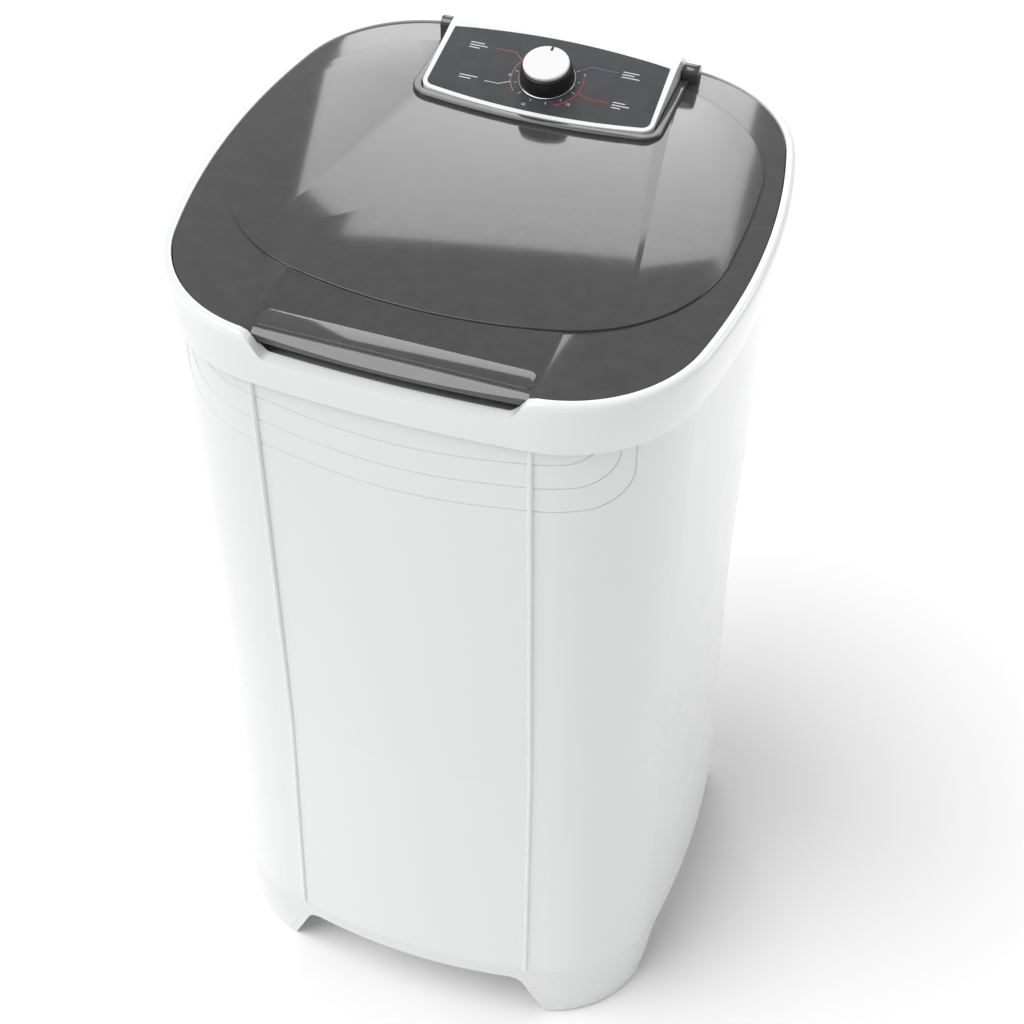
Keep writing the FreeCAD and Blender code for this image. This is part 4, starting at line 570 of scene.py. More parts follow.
def fillet(centre: tuple[float, float], radius: float, first: float, last: float, steps: int = 6
           ) -> list[tuple[float, float]]:
    """Points along an arc of a profile.

    Args:
        centre: centre of the arc.
        radius: its radius.
        first: first angle in degrees.
        last: last angle in degrees.
        steps: number of steps.

    Returns:
        The points, first to last.
    """
    return [
        (
            centre[0] + radius * math.cos(math.radians(first + (last - first) * i / steps)),
            centre[1] + radius * math.sin(math.radians(first + (last - first) * i / steps)),
        )
        for i in range(steps + 1)
    ]


# ------------------------------------------------------------------ bulged outlines
@dataclass(frozen=True)
class Plan:
    """Bulged rounded square, in millimetres.

    Args:
        half_width: middle to side.
        half_depth: middle to front.
        corner: corner radius.
        bulge_side: radius of the left and right sides.
        bulge_front: radius of the front and back.
    """

    half_width: float
    half_depth: float
    corner: float
    bulge_side: float
    bulge_front: float

    def inset(self, step: float) -> "Plan":
        """Return the parallel outline, further in by a step."""
        return Plan(
            self.half_width - step, self.half_depth - step, self.corner - step,
            self.bulge_side - step, self.bulge_front - step,
        )

    def turns(self) -> list[tuple[Vector, float, int]]:
        """Return the centre, angle and number of steps of each of the eight arcs, from +X round to +X."""
        side = Vector((self.half_width - self.bulge_side, 0.0))
        front = Vector((0.0, self.half_depth - self.bulge_front))
        near, far = self.bulge_side - self.corner, self.bulge_front - self.corner
        span = front - side
        along = (near**2 - far**2 + span.length**2) / (2 * span.length)
        across = math.sqrt(near**2 - along**2)
        axis = span.normalized()
        normal = Vector((-axis.y, axis.x))
        centre = max((side + axis * along + normal * across * s for s in (1, -1)), key=lambda p: p.x + p.y)
        low = math.atan2(centre.y, centre.x - side.x)
        high = math.atan2(centre.y - front.y, centre.x)
        quarter = ((side, low, 20), (centre, high - low, 26), (front, math.pi / 2 - high, 56))
        first = [(Vector((c.x, c.y, 0)), a, n) for c, a, n in quarter]
        second = [(Vector((-c.x, c.y, 0)), a, n) for c, a, n in reversed(first)]
        half = first + second
        return half + [(Vector((-c.x, -c.y, 0)), a, n) for c, a, n in half]

    def trace(self, mesh: bmesh.types.BMesh, height: float) -> list[bmesh.types.BMEdge]:
        """Trace the outline as a closed loop, by spins of one point.

        Args:
            mesh: bmesh that gets the loop.
            height: height of the loop in millimetres.

        Returns:
            The loop's edges.
        """
        known = set(mesh.edges)
        point = mesh.verts.new((self.half_width * MM, 0.0, height * MM))
        start = point
        for centre, angle, steps in self.turns():
            spun = bmesh.ops.spin(
                mesh, geom=[point], cent=(centre.x * MM, centre.y * MM, height * MM), axis=(0, 0, 1),
                angle=angle, steps=steps,
            )
            point = next(item for item in spun["geom_last"] if isinstance(item, bmesh.types.BMVert))
        bmesh.ops.pointmerge(mesh, verts=[start, point], merge_co=start.co.copy())
        return [edge for edge in mesh.edges if edge not in known]

    def count(self) -> int:
        """Return how many points a traced loop has."""
        return sum(steps for _centre, _angle, steps in self.turns())

    def points(self, shift: float = 0.0) -> list[tuple[float, float]]:
        """Return the outline's points, anticlockwise from +X.

        Args:
            shift: how far the outline is moved back.

        Returns:
            The points in millimetres.
        """
        point, found = Vector((self.half_width, 0.0, 0.0)), []
        for centre, angle, steps in self.turns():
            turn = Matrix.Rotation(angle / steps, 3, "Z")
            for _step in range(steps):
                found.append((point.x, point.y + shift))
                point = centre + turn @ (point - centre)
        return found


def ring_loop(mesh: bmesh.types.BMesh, radius: float, height: float, count: int) -> list[bmesh.types.BMEdge]:
    """Trace a round loop.

    Args:
        mesh: bmesh that gets the loop.
        radius: radius in millimetres.
        height: height in millimetres.
        count: number of points.

    Returns:
        The loop's edges.
    """
    known = set(mesh.edges)
    point = mesh.verts.new((radius * MM, 0.0, height * MM))
    bmesh.ops.spin(
        mesh, geom=[point], cent=(0, 0, height * MM), axis=(0, 0, 1), angle=math.tau, steps=count,
        use_merge=True,
    )
    return [edge for edge in mesh.edges if edge not in known]


def bridge(mesh: bmesh.types.BMesh, loops: Sequence[list[bmesh.types.BMEdge]], closed: bool) -> None:
    """Join loops one to the next with faces.

    Args:
        mesh: the bmesh.
        loops: loops in order.
        closed: whether the last joins the first.
    """
    pairs = list(zip(loops, loops[1:]))
    if closed:
        pairs.append((loops[-1], loops[0]))
    for one, other in pairs:
        bmesh.ops.bridge_loops(mesh, edges=one + other)


def rounded(corners: Sequence[tuple[float, float, float]], step: float = 6.0) -> list[tuple[float, float]]:
    """Round the inner corners of an open run of points.

    Args:
        corners: (x, y, radius) of each corner, in millimetres. The first and last stay sharp.
        step: angle in degrees between two points of a rounding.

    Returns:
        The rounded run's points.
    """
    found = [corners[0][:2]]
    for before, corner, after in zip(corners, corners[1:], corners[2:]):
        here = Vector(corner[:2])
        back, ahead = (Vector(before[:2]) - here).normalized(), (Vector(after[:2]) - here).normalized()
        half = back.angle(ahead) / 2
        centre = here + (back + ahead).normalized() * corner[2] / math.sin(half)
        start = here + back * corner[2] / math.tan(half) - centre
        end = here + ahead * corner[2] / math.tan(half) - centre
        turn = start.angle_signed(end)
        count = max(int(abs(math.degrees(turn)) / step), 2) + (BULGE_STEPS if corner[2] > BULGE_RADIUS else 0)
        for i in range(count + 1):
            spoke = Matrix.Rotation(-turn * i / count, 2) @ start
            found.append(tuple(centre + spoke))
    return found + [corners[-1][:2]]


def slab(outline: Sequence[tuple[float, float]], low: float, high: float) -> bmesh.types.BMesh:
    """Make a slab of an outline.

    Args:
        outline: points of the closed outline, in millimetres.
        low: height of its underside.
        high: height of its top.

    Returns:
        The bmesh, in metres.
    """
    mesh = bmesh.new()
    points = [mesh.verts.new((x * MM, y * MM, low * MM)) for x, y in outline]
    edges = [mesh.edges.new((a, b)) for a, b in zip(points, points[1:] + points[:1])]
    faces = bmesh.ops.contextual_create(mesh, geom=edges)["faces"]
    risen = bmesh.ops.extrude_face_region(mesh, geom=faces)["geom"]
    bmesh.ops.translate(
        mesh, vec=(0, 0, (high - low) * MM), verts=[v for v in risen if isinstance(v, bmesh.types.BMVert)]
    )
    bmesh.ops.recalc_face_normals(mesh, faces=mesh.faces[:])
    return mesh


def round_top(mesh: bmesh.types.BMesh, high: float, width: float, segments: int = 3) -> None:
    """Round the edge round a slab's top.

    Args:
        mesh: the slab.
        high: height of the top, in millimetres.
        width: width of the rounding.
        segments: steps across the rounding.
    """
    level = high * MM - 1e-6
    edges = [
        e for e in mesh.edges
        if all(v.co.z > level for v in e.verts) and e.calc_face_angle(0.0) > math.radians(40)
    ]
    bmesh.ops.bevel(mesh, geom=edges, offset=width * MM, segments=segments, profile=0.5, affect="EDGES",
                    material=-1, clamp_overlap=True)


# ------------------------------------------------------------------ rim
@dataclass
class Rim:
    """Top frame: skirt, rounded rim, recess, ledge and deck round the tub.

    Args:
        plan: outline of the rim.
        top: height of the rim.
        skirt_low: lower edge of the skirt.
        draft: lean of the skirt at its lower edge.
        wall: skirt wall.
        recess: outer face to the recess.
        ledge: height of the ledge.
        ledge_width: width of the ledge.
        deck: height of the deck.
        deck_wall: deck plate.
        opening: radius of the hole for the tub.
        scoop: half-length of the finger scoop.
        scoop_run: length of each sloped end.
        scoop_floor: height of the scoop's floor.
        scoop_depth: rim's front to the back of the scoop.
        shoulder: rounding of the rim's upper outer edge, across and down.
        skirt_inner: rounding of the skirt's inner lower edge.
        skirt_outer: rounding of the skirt's outer lower edge and the recess's edge.
        soft: break of the ledge's and the deck's edges.
    """

    plan: Plan = Plan(268, 268, 140, 700, 1520)
    top: float = 980.0
    skirt_low: float = 924.0
    draft: float = 3.0
    wall: float = 3.2
    recess: float = 9.5
    ledge: float = 965.0
    ledge_width: float = 3.0
    deck: float = 950.0
    deck_wall: float = 3.0
    opening: float = 209.5
    scoop: float = 107.0
    scoop_run: float = 22.0
    scoop_floor: float = 958.0
    scoop_depth: float = 45.0
    shoulder: tuple[float, float] = (5.0, 8.0)
    skirt_inner: float = 0.6
    skirt_outer: float = 0.8
    soft: float = 0.5

    def sections(self) -> list[tuple[float, float]]:
        """Return the rim's section as (inset, height), from the deck's underside round to the deck."""
        low = self.skirt_low
        inner, outer, soft = self.skirt_inner, self.skirt_outer, self.soft
        across, down = self.shoulder
        section = [(self.wall + 1.3, self.deck - self.deck_wall)]
        section += fillet((self.draft + self.wall - inner, low + inner), inner, 0, -90, 3)
        section += fillet((self.draft + outer, low + outer + STEP), outer, -90, -180, 4)
        section += [(0.0, self.scoop_floor - 4.0), (0.0, self.top - down)]
        section += [
            (across - across * math.cos(math.radians(t)), self.top - down + down * math.sin(math.radians(t)))
            for t in range(12, 91, 13)
        ]
        section += fillet((self.recess - outer, self.top - outer - STEP), outer, 90, 0, 4)
        wall = self.recess + self.ledge_width
        section += [
            (self.recess, self.ledge + soft), (self.recess + soft, self.ledge),
            (wall - soft, self.ledge - STEP), (wall, self.ledge - soft),
            (wall, self.deck + soft), (wall + soft, self.deck),
        ]
        return section

    def floor(self, x: float) -> float:
        """Return the scoop's height at a distance from the middle."""
        share = min(max((abs(x) - self.scoop) / self.scoop_run, 0.0), 1.0)
        return self.scoop_floor + (self.top - self.scoop_floor) * share * share * (3 - 2 * share)

    def build(self) -> bpy.types.Object:
        """Build and dress the rim.

        Returns:
            The rim.
        """
        mesh = bmesh.new()
        loops = [self.plan.inset(inset).trace(mesh, height) for inset, height in self.sections()]
        count = self.plan.count()
        for height in (self.deck, self.deck - self.deck_wall):
            loops.append(ring_loop(mesh, self.opening, height - STEP, count))
        bridge(mesh, loops, closed=True)
        front = -(self.plan.half_depth - self.scoop_depth) * MM
        for vert in mesh.verts:
            if vert.co.y < front and vert.co.z > (self.scoop_floor - 1) * MM:
                vert.co.z = min(vert.co.z, self.floor(vert.co.x / MM) * MM)
        bmesh.ops.remove_doubles(mesh, verts=mesh.verts[:], dist=0.00001)
        return settle(mesh, "rim", Body.MACHINE, Finishes.RIM, ("top_frame",), crease=50)


# ------------------------------------------------------------------ lid
@dataclass
class Lid:
    """Smoked lid: sheet with skirt, raised panel, collar round the console, grip pad, lip and ears.

    Args:
        rim: outline of the rim.
        inset: rim's outer face to the lid's edge.
        top: height of the sheet.
        thickness: sheet.
        skirt: down-turned edge's wall.
        skirt_low: lower edge of the skirt.
        panel: outline of the raised panel.
        panel_shift: panel's middle behind the rim's.
        panel_rise: panel above the sheet.
        notch_half: notch for the console, half-width.
        notch_front: notch's front corners.
        notch_apex: bowed front, corners to the apex.
        notch_round: corner radius of the notch.
        notch_bow: radius of the notch's bowed front.
        collar_wall: collar.
        collar_rise: collar above the raised panel.
        collar_back: rear end of the collar.
        grip: grip pad, half-length.
        grip_front: grip pad's front edge.
        grip_depth: grip pad, front to back.
        grip_rise: grip pad above the sheet.
        grip_corners: corner radii of the grip pad, front and back.
        edge_round: rounding of the sheet's edge.
        panel_round: rounding of the raised panel.
        collar_round: rounding of the collar.
        grip_round: rounding of the grip pad.
        lip_fall: fall of the front lip.
        lip_end: length of each of the lip's sloped ends.
        lip_curve: how late the lip falls.
        hinge: hinge axis as (y, z).
        ear: ear barrel radius.
        ear_width: ear along the hinge axis.
    """

    rim: Plan = Plan(268, 268, 140, 700, 1520)
    inset: float = 10.7
    top: float = 978.5
    thickness: float = 3.0
    skirt: float = 2.5
    skirt_low: float = 967.5
    panel: Plan = Plan(236, 208, 150, 900, 480)
    panel_shift: float = 25.0
    panel_rise: float = 2.5
    notch_half: float = 117.8
    notch_front: float = 125.7
    notch_apex: float = 17.0
    notch_round: float = 13.3
    notch_bow: float = 651.3
    collar_wall: float = 8.0
    collar_rise: float = 3.5
    collar_back: float = 226.0
    grip: float = 123.0
    grip_front: float = -244.3
    grip_depth: float = 22.0
    grip_rise: float = 0.8
    grip_corners: tuple[float, float] = (4.0, 8.0)
    edge_round: float = 1.2
    panel_round: float = 1.8
    collar_round: float = 1.6
    grip_round: float = 0.5
    lip_fall: float = 7.5
    lip_end: float = 5.0
    lip_curve: float = 1.2
    hinge: tuple[float, float] = (236.0, 988.0)
    ear: float = 8.0
    ear_width: float = 16.0

    def notch(self, grow: float, back: float) -> list[tuple[float, float]]:
        """Return the notch's run of points, from its right end round the front to its left end.

        Args:
            grow: how far it is grown outwards.
            back: where it ends at the back.

        Returns:
            The points in millimetres.
        """
        half, front = self.notch_half + grow, self.notch_front - grow
        return rounded((
            (half, back, 0.0), (half, front, self.notch_round + grow),
            (0.0, front - self.notch_apex, self.notch_bow + grow),
            (-half, front, self.notch_round + grow), (-half, back, 0.0),
        ))

    def around_notch(self, points: Sequence[tuple[float, float]]) -> list[tuple[float, float]]:
        """Join an outline with the notch.

        Args:
            points: closed outline, anticlockwise from +X.

        Returns:
            The closed outline that runs round the notch.
        """
        behind = [i for i, p in enumerate(points) if abs(p[0]) <= self.notch_half and p[1] > 0]
        right, left = points[: behind[0]], points[behind[-1] + 1 :]
        return [*right, *self.notch(0.0, right[-1][1] + 0.2), *left]

    def lower_lip(self, mesh: bmesh.types.BMesh) -> None:
        """Cut the sheet at the front and bend its edge down."""
        cuts = [((0, self.grip_front, 0), (0, 1, 0))]
        steps = (0.0, self.lip_end / 2, self.lip_end)
        cuts += [((side * (self.grip + step), 0, 0), (1, 0, 0)) for side in (-1, 1) for step in steps]
        for place, normal in cuts:
            near = [f for f in mesh.faces if any(v.co.y < (self.grip_front + 4) * MM for v in f.verts)]
            geom = list({*near, *(e for f in near for e in f.edges), *(v for f in near for v in f.verts)})
            bmesh.ops.bisect_plane(mesh, geom=geom, plane_co=[c * MM for c in place], plane_no=normal,
                                   dist=0.000001)
        reach = self.rim.half_depth - self.inset + self.grip_front
        for vert in mesh.verts:
            run = (self.grip_front - vert.co.y / MM) / reach
            if run <= 0 or vert.co.z < (self.skirt_low + 1) * MM:
                continue
            side = min(max((self.grip + self.lip_end - abs(vert.co.x) / MM) / self.lip_end, 0.0), 1.0)
            vert.co.z -= self.lip_fall * min(run, 1.0) ** self.lip_curve * side * MM

    def build_sheet(self) -> None:
        """Build the sheet, its skirt and the lip."""
        outline = self.around_notch(self.rim.inset(self.inset).points())
        mesh = slab(outline, self.top - self.thickness, self.top)
        under = [f for f in mesh.faces if f.normal.z < -0.9]
        bmesh.ops.inset_region(mesh, faces=under, thickness=self.skirt * MM, use_even_offset=True)
        low = (self.top - self.thickness) * MM
        band = [
            f for f in mesh.faces
            if f.normal.z < -0.9 and f not in under and f.calc_center_median().z < low + 1e-6
        ]
        risen = bmesh.ops.extrude_face_region(mesh, geom=band)["geom"]
        bmesh.ops.delete(mesh, geom=band, context="FACES")
        bmesh.ops.translate(
            mesh, vec=(0, 0, (self.skirt_low - self.top + self.thickness) * MM),
            verts=[v for v in risen if isinstance(v, bmesh.types.BMVert)],
        )
        round_top(mesh, self.top, self.edge_round)
        self.lower_lip(mesh)
        settle(mesh, "lid_sheet", Body.LID, Finishes.LID, ("lid_panel",))

    def build_panel(self) -> None:
        """Build the raised panel."""
        outline = self.around_notch(self.panel.points(self.panel_shift))
        high = self.top + self.panel_rise
        mesh = slab(outline, self.top - ROOT, high)
        round_top(mesh, high, self.panel_round, 4)
        settle(mesh, "lid_raised_panel", Body.LID, Finishes.LID)

    def build_collar(self) -> None:
        """Build the collar round the console."""
        outer = self.notch(self.collar_wall, self.collar_back)
        outline = self.notch(0.0, self.collar_back) + outer[::-1]
        high = self.top + self.panel_rise + self.collar_rise
        mesh = slab(outline, self.top - 2 * ROOT, high)
        round_top(mesh, high, self.collar_round, 4)
        settle(mesh, "lid_collar", Body.LID, Finishes.LID)

    def build_grip(self) -> None:
        """Build the low grip pad."""
        front, back, half = self.grip_front, self.grip_front + self.grip_depth, self.grip
        near, far = self.grip_corners
        outline = rounded((
            (0, front, 0), (half, front, near), (half, back, far),
            (-half, back, far), (-half, front, near), (0, front, 0),
        ), 10)[:-1]
        high = self.top + self.grip_rise
        mesh = slab(outline, self.top - ROOT, high)
        round_top(mesh, high, self.grip_round, 3)
        settle(mesh, "lid_grip_pad", Body.LID, Finishes.LID)

    def build_ears(self) -> None:
        """Build the two hinge ears."""
        for side in (-1, 1):
            middle = side * (self.notch_half + self.ear_width / 2)
            y, z = self.hinge
            mesh = bmesh.new()
            bmesh.ops.create_cone(
                mesh, cap_ends=True, segments=48, radius1=self.ear * MM, radius2=self.ear * MM,
                depth=self.ear_width * MM,
            )
            bmesh.ops.rotate(mesh, matrix=Matrix.Rotation(math.pi / 2, 3, "Y"), verts=mesh.verts[:])
            bmesh.ops.translate(mesh, vec=(0, 0, z * MM), verts=mesh.verts[:])
            root = bmesh.ops.create_cube(mesh, size=1.0)["verts"]
            rise = z - self.top + self.thickness
            bmesh.ops.scale(
                mesh, vec=((self.ear_width - 0.4) * MM, 2 * self.ear * MM, rise * MM), verts=root
            )
            bmesh.ops.translate(mesh, vec=(0, 0, (z - rise / 2) * MM), verts=root)
            bmesh.ops.translate(mesh, vec=(middle * MM, y * MM, 0), verts=mesh.verts[:])
            rims = [e for e in mesh.edges if e.calc_face_angle(0.0) > math.radians(50)]
            bmesh.ops.bevel(mesh, geom=rims, offset=0.5 * MM, segments=2, profile=0.5, affect="EDGES",
                            material=-1, clamp_overlap=True)
            name = "lid_ear_left" if side < 0 else "lid_ear_right"
            settle(mesh, name, Body.LID, Finishes.LID)

    def build(self) -> None:
        """Build the lid."""
        self.build_sheet()
        self.build_panel()
        self.build_collar()
        self.build_grip()
        self.build_ears()


# ------------------------------------------------------------------ parts that keep their moulded shape
@dataclass
class Moulding:
    """A moulding that keeps its CAD shape and gets rounded edges.

    Args:
        node: CAD node that it stands for.
        name: name of the piece.
        body: body that it rides on.
        finish: finish that it wears.
        slot: material slot of the record; not used.
        rounding: width of the edge rounding in millimetres.
        segments: steps across the rounding.
    """

    node: str
    name: str
    body: Body
    finish: Finish
    slot: str
    rounding: float = 0.6
    segments: int = 2

    def build(self) -> bpy.types.Object:
        """Build and dress the moulding.

        Returns:
            The piece.
        """
        piece = settle(
            merged_copy(self.node), self.name, self.body, self.finish, (self.node,), outward=False
        )
        soften(piece, self.rounding * MM, self.segments)
        return piece


# ------------------------------------------------------------------ controls
@dataclass
class Controls:
    """Knob and printed panel, on the sloped fascia.

    Args:
        knob: knob axis above the rim's frame, as (y, z) in millimetres.
        slope: rise and run of the fascia.
        skirt: knob skirt radius at its foot.
        cap: knob cap radius.
        height: knob height above the fascia.
        bore: radius of the skirt's bore.
        foot: skirt's foot above the fascia's seat.
        sheet: fascia's top face against the seat.
        print_rise: print above the fascia.
    """

    knob: tuple[float, float] = (166.0, 994.5316)
    slope: tuple[float, float] = (17.0, 79.0)
    skirt: float = 27.0
    cap: float = 22.5
    height: float = 22.0
    bore: float = 3.05
    foot: float = 0.2
    sheet: float = -0.4
    print_rise: float = 0.12

    def seat(self) -> Matrix:
        """Return the fascia's frame: X to the right, Y up the slope, Z out of the panel."""
        tilt = math.atan2(*self.slope)
        return Matrix.Translation((0.0, self.knob[0] * MM, self.knob[1] * MM)) @ Matrix.Rotation(tilt, 4, "X")

    def seated(self, mesh: bmesh.types.BMesh) -> bmesh.types.BMesh:
        """Move a bmesh made about the knob's axis onto the panel."""
        bmesh.ops.transform(mesh, matrix=self.seat(), verts=mesh.verts[:])
        return mesh

    def lay(self, profile: Sequence[tuple[float, float]], name: str, finish: Finish, node: str,
            steps: int = TURN_STEPS) -> None:
        """Turn a profile about the knob's axis and settle it in a CAD node's place.

        Args:
            profile: points as (radius, height above the seat) in millimetres.
            name: name of the piece.
            finish: look of the piece.
            node: CAD node that the piece replaces.
            steps: steps of the full turn.
        """
        mesh = self.seated(turned(profile, steps))
        settle(mesh, name, Body.KNOB, finish, (node,), crease=50)

    def build_skirt(self) -> None:
        """Build the black tapered skirt."""
        r, top = self.skirt, self.height - 4.0
        profile = [(self.bore, self.foot), (r - 0.5, self.foot)]
        profile += fillet((r - 0.5, self.foot + 0.5), 0.5, -90, 0, 4)
        profile += [(r - 0.1, self.foot + 3.0)]
        profile += [(self.cap + 2.0, top - 2.6)] + fillet((self.cap + 0.6, top - 1.4), 1.4, 15, 90, 5)
        profile += [(self.cap - 1.0, top), (self.bore, top)]
        self.lay(profile, "knob_skirt_turned", Finishes.KNOB_SKIRT, "knob_skirt")

    def build_cap(self) -> None:
        """Build the white cap with a softly dished top."""
        r, low, top = self.cap, self.height - 4.0, self.height
        profile = [(0.0, low), (r - 0.4, low), (r, low + 0.4), (r, top - 1.6)]
        profile += fillet((r - 1.6, top - 1.6), 1.6, 0, 90, 6)[1:]
        profile += [(r - 4.0, top), (r - 9.0, top - 0.05), (0.0, top - 0.1)]
        self.lay(profile, "knob_cap_turned", Finishes.KNOB_CAP, "knob_cap", 128)

    def build_ring(self) -> None:
        """Build the bright ring round the skirt's foot."""
        r = self.skirt
        profile = [(r, self.foot), (r + 0.7, self.foot)]
        profile += fillet((r + 0.5, self.foot + 1.0), 0.5, -20, 110, 6)
        profile += [(r, self.foot + 1.5), (r, self.foot)]
        self.lay(profile, "knob_ring_turned", Finishes.TRIM, "knob_ring")

    def build_pointer(self) -> None:
        """Build the dark mark at the cap's edge."""
        mesh = bmesh.new()
        bmesh.ops.create_cube(mesh, size=1.0)
        bmesh.ops.scale(mesh, vec=(2.6 * MM, 6.0 * MM, 0.5 * MM), verts=mesh.verts[:])
        place = (0, (self.cap - 3.6) * MM, (self.height - 0.15) * MM)
        bmesh.ops.translate(mesh, vec=place, verts=mesh.verts[:])
        bmesh.ops.bevel(
            mesh, geom=mesh.edges[:], offset=0.12 * MM, segments=2, profile=0.5, affect="EDGES", material=-1
        )
        settle(
            self.seated(mesh), "knob_mark", Body.KNOB, Finishes.KNOB_SKIRT, ("knob_pointer",)
        )

    def stroke(self, name: str, points: Sequence[tuple[float, float]], width: float, finish: Finish) -> None:
        """Print one stroke on the panel.

        Args:
            name: name of the piece.
            points: points of the stroke on the panel, in millimetres.
            width: width of the stroke.
            finish: ink of the stroke.
        """
        mesh = bmesh.new()
        low, thick = (self.sheet + INK_LIFT) * MM, self.print_rise * MM
        left, right = [], []
        for i, (x, y) in enumerate(points):
            before, after = points[max(i - 1, 0)], points[min(i + 1, len(points) - 1)]
            way = Vector((after[0] - before[0], after[1] - before[1])).normalized() * width / 2
            left.append((x - way.y, y + way.x))
            right.append((x + way.y, y - way.x))
        outline = [mesh.verts.new((x * MM, y * MM, low)) for x, y in left + right[::-1]]
        count = len(points)
        for i in range(count - 1):
            mesh.faces.new((outline[i], outline[i + 1], outline[-i - 2], outline[-i - 1]))
        risen = bmesh.ops.extrude_face_region(mesh, geom=mesh.faces[:])
        moved = [item for item in risen["geom"] if isinstance(item, bmesh.types.BMVert)]
        bmesh.ops.translate(mesh, vec=(0, 0, thick), verts=moved)
        settle(self.seated(mesh), name, Body.MACHINE, finish)

    def numeral(self, text: str, x: float, y: float, size: float) -> None:
        """Print one dial number.

        Args:
            text: the number.
            x: middle of the number on the panel.
            y: middle of the number on the panel.
            size: height of the type in millimetres.
        """
        curve = bpy.data.curves.new("dial_number", "FONT")
        curve.body = text
        curve.size = size * MM
        curve.align_x = "CENTER"
        curve.align_y = "CENTER"
        curve.extrude = self.print_rise / 2 * MM
        holder = bpy.data.objects.new("dial_number", curve)
        bpy.context.scene.collection.objects.link(holder)
        bpy.context.view_layer.update()
        shown = holder.evaluated_get(bpy.context.evaluated_depsgraph_get())
        flat = bpy.data.meshes.new_from_object(shown)
        bpy.data.objects.remove(holder)
        bpy.data.curves.remove(curve)
        mesh = bmesh.new()
        mesh.from_mesh(flat)
        bpy.data.meshes.remove(flat)
        middle = self.sheet + INK_LIFT + self.print_rise / 2
        bmesh.ops.translate(mesh, vec=(x * MM, y * MM, middle * MM), verts=mesh.verts[:])
        settle(self.seated(mesh), f"dial_number_{text}", Body.MACHINE, Finishes.PRINT,
               outward=False)

    def arc(self, radius: float, first: float, last: float) -> list[tuple[float, float]]:
        """Return points on an arc round the knob, between two angles in degrees."""
        count = max(int(abs(last - first) / 4), 2)
        return [
            (radius * math.cos(math.radians(first + (last - first) * i / count)),
             radius * math.sin(math.radians(first + (last - first) * i / count)))
            for i in range(count + 1)
        ]

    def build_print(self) -> None:
        """Print the dial's ticks, bands, leaders and level bars."""
        r = self.skirt + 3.0
        for i in range(13):
            angle = 90.0 - 330.0 / 12 * i
            ray = (math.cos(math.radians(angle)), math.sin(math.radians(angle)))
            long = 2.2 if i % 2 else 3.4
            ends_at = [(ray[0] * reach, ray[1] * reach) for reach in (r, r + long)]
            self.stroke(f"tick_{i:02d}", ends_at, 0.55, Finishes.PRINT)
        self.stroke("band_warm", self.arc(r + 5.5, 150, 222), 0.9, Finishes.PRINT_WARM)
        self.stroke("band_red", self.arc(r + 5.5, -62, 18), 0.9, Finishes.PRINT_RED)
        leaders = (
            ("warm", ((-31.0, 17.0), (-40.0, 26.5), (-60.0, 26.5)), Finishes.PRINT_WARM),
            ("blue", ((29.0, 20.0), (36.0, 26.5), (64.0, 26.5)), Finishes.PRINT_BLUE),
            ("red", ((34.0, -10.0), (45.0, -14.5), (66.0, -14.5)), Finishes.PRINT_RED),
            ("light", ((-33.0, -12.0), (-44.0, -18.0), (-58.0, -18.0)), Finishes.PRINT),
        )
        for name, points, ink in leaders:
            self.stroke(f"leader_{name}", points, 0.7, ink)
        bars = (
            ("bar_upper_left", -88.0, 29.0, (14.0, 18.0, 11.0)),
            ("bar_upper_right", 68.0, 29.0, (16.0, 12.0, 18.0)),
            ("bar_lower_left", -84.0, -15.5, (18.0, 12.0)),
            ("bar_lower_right", 70.0, -12.0, (12.0, 17.0, 9.0)),
        )
        for name, x, y, widths in bars:
            for i, width in enumerate(widths):
                height = y - 3.4 * i
                self.stroke(f"{name}_{i}", [(x, height), (x + width, height)], 1.1, Finishes.PRINT)
        for i, text in enumerate(("0", "6", "12", "18", "24", "30")):
            angle = math.radians(90.0 - 66.0 * i)
            reach = r + (6.6 if i in (0, 1, 4) else 9.6)
            self.numeral(text, reach * math.cos(angle), reach * math.sin(angle), 4.2)

    def build(self) -> None:
        """Build the knob and the print."""
        self.build_skirt()
        self.build_cap()
        self.build_ring()
        self.build_pointer()
        self.build_print()


# ------------------------------------------------------------------ hidden pieces keep their CAD mesh
@dataclass
class CarriedOver:
    """CAD nodes that stay as they are and are dressed by their material slot."""

    base: str = "base_frame"

    def build(self) -> None:
        """Dress every CAD node."""
        slots = {part["node"]: part["material_slot"] for part in frame["record"]["subparts"]}
        for name, item in frame["nodes"].items():
            finish = Finishes.BY_SLOT[slots[name]]
            if name == self.base:
                finish = Finishes.BASE
            item.data.materials.clear()
            item.data.materials.append(finish.material())
            LOG.info("%s wears %s", name, finish.name)


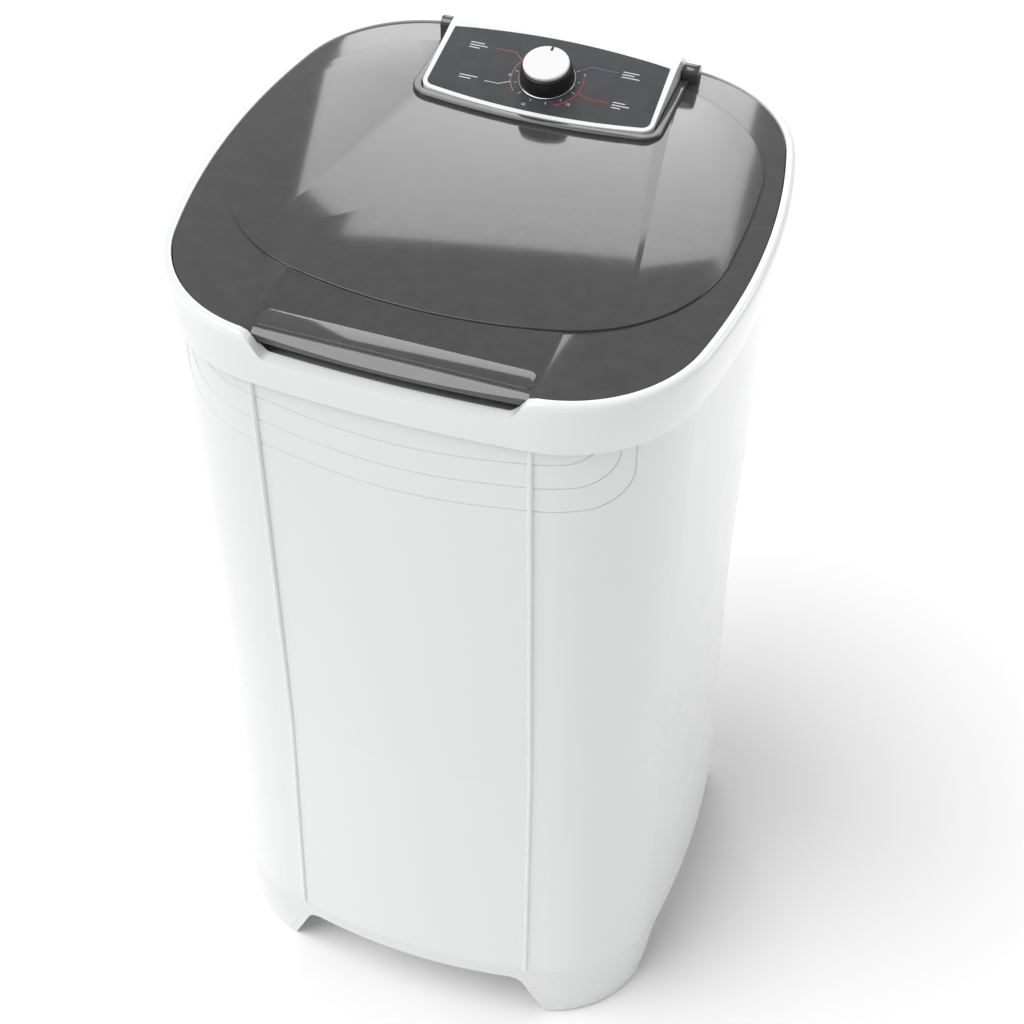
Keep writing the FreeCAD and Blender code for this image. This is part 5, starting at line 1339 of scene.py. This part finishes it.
# ------------------------------------------------------------------ studio
@dataclass
class Studio:
    """Floor, lights and camera.

    Args:
        azimuth: camera's turn from the front, degrees.
        elevation: camera's height, degrees.
        roll: camera's roll, degrees.
        distance: target to camera, metres.
        target: point looked at.
        lens: focal length over the frame's width.
        sensor: width of the sensor, mm.
        floor_half: half-side of the floor.
        sun_power: strength of the sun.
        sun_angle: spread of the sun, degrees.
        sun_from: direction the sun comes from.
        surround: strength of the surround.
    """

    azimuth: float = 18.459
    elevation: float = 45.946
    roll: float = 0.980
    distance: float = 2.0185
    target: tuple[float, float, float] = (0.0272, 0.0, 0.5652)
    lens: float = 1893.73 / 1024
    sensor: float = 36.0
    floor_half: float = 30.0
    sun_power: float = 2.3
    sun_angle: float = 50.0
    sun_from: tuple[float, float, float] = (-0.5, -0.35, 1.0)
    surround: float = 0.40

    def build_camera(self) -> None:
        """Place the camera."""
        az, el, roll = (math.radians(v) for v in (self.azimuth, self.elevation, self.roll))
        back = Vector((math.sin(az) * math.cos(el), -math.cos(az) * math.cos(el), math.sin(el)))
        right = (-back).cross(Vector((0, 0, 1))).normalized()
        up = right.cross(-back).normalized()
        side = right * math.cos(roll) + up * math.sin(roll)
        top = up * math.cos(roll) - right * math.sin(roll)
        place = Matrix((side, top, back)).transposed().to_4x4()
        place.translation = Vector(self.target) + back * self.distance
        lens = bpy.data.cameras.new("camera")
        lens.sensor_width = self.sensor
        lens.lens = self.sensor * self.lens
        lens.clip_start = 0.05
        camera = bpy.data.objects.new("camera", lens)
        camera.matrix_world = place
        bpy.context.scene.collection.objects.link(camera)
        bpy.context.scene.camera = camera

    def build_floor(self) -> None:
        """Lay the plain pale floor."""
        mesh = bmesh.new()
        bmesh.ops.create_grid(mesh, x_segments=8, y_segments=8, size=self.floor_half)
        data = bpy.data.meshes.new("floor")
        mesh.to_mesh(data)
        mesh.free()
        pale = bpy.data.materials.new("floor_pale")
        pale.use_nodes = True
        shader = pale.node_tree.nodes["Principled BSDF"]
        shader.inputs["Base Color"].default_value = (0.93, 0.93, 0.93, 1.0)
        shader.inputs["Roughness"].default_value = 0.9
        shader.inputs["Specular IOR Level"].default_value = 0.1
        data.materials.append(pale)
        floor = bpy.data.objects.new("floor", data)
        bpy.context.scene.collection.objects.link(floor)

    def add_light(self, name: str, place: Sequence[float], size: float, power: float) -> None:
        """Hang a soft square light that looks at the machine.

        Args:
            name: name of the light.
            place: where it hangs.
            size: side of the square.
            power: watts.
        """
        lamp = bpy.data.lights.new(name, "AREA")
        lamp.shape = "SQUARE"
        lamp.size = size
        lamp.energy = power
        hung = bpy.data.objects.new(name, lamp)
        hung.location = place
        hung.rotation_euler = (Vector((0, 0, 0.5)) - Vector(place)).to_track_quat("-Z", "Y").to_euler()
        bpy.context.scene.collection.objects.link(hung)

    def build_lights(self) -> None:
        """Hang the lights and set the surround."""
        sun = bpy.data.lights.new("key", "SUN")
        sun.energy = self.sun_power
        sun.angle = math.radians(self.sun_angle)
        hung = bpy.data.objects.new("key", sun)
        hung.rotation_euler = Vector(self.sun_from).to_track_quat("Z", "Y").to_euler()
        bpy.context.scene.collection.objects.link(hung)
        self.add_light("edge_right", (1.9, 1.1, 1.5), 1.0, 9.0)
        self.add_light("glint_top", (-0.6, 2.2, 2.2), 1.4, 16.0)
        world = bpy.data.worlds.new("surround")
        world.use_nodes = True
        shade = world.node_tree.nodes["Background"]
        shade.inputs["Color"].default_value = (1.0, 1.0, 1.0, 1.0)
        shade.inputs["Strength"].default_value = self.surround
        bpy.context.scene.world = world
        bpy.context.scene.view_settings.view_transform = "Standard"
        bpy.context.scene.view_settings.look = "None"

    def build(self) -> None:
        """Build the studio."""
        self.build_camera()
        self.build_floor()
        self.build_lights()


def main() -> None:
    """Build the machine's looks in order."""
    logging.basicConfig(level=logging.INFO, format="%(name)s %(message)s")
    Studio().build()
    CarriedOver().build()
    Rim().build()
    Lid().build()
    mouldings = (
        ("console_housing", "console_moulding", Body.MACHINE, Finishes.CONSOLE, "cabinet_white", 1.0, 3),
        ("base_frame", "base_moulding", Body.MACHINE, Finishes.BASE, "cabinet_white", 0.9, 3),
        ("agitator", "agitator_moulding", Body.AGITATOR, Finishes.AGITATOR, "agitator_plastic", 1.5, 3),
    )
    for moulding in mouldings:
        Moulding(*moulding).build()
    Controls().build()


if __name__ == "__main__":
    main()
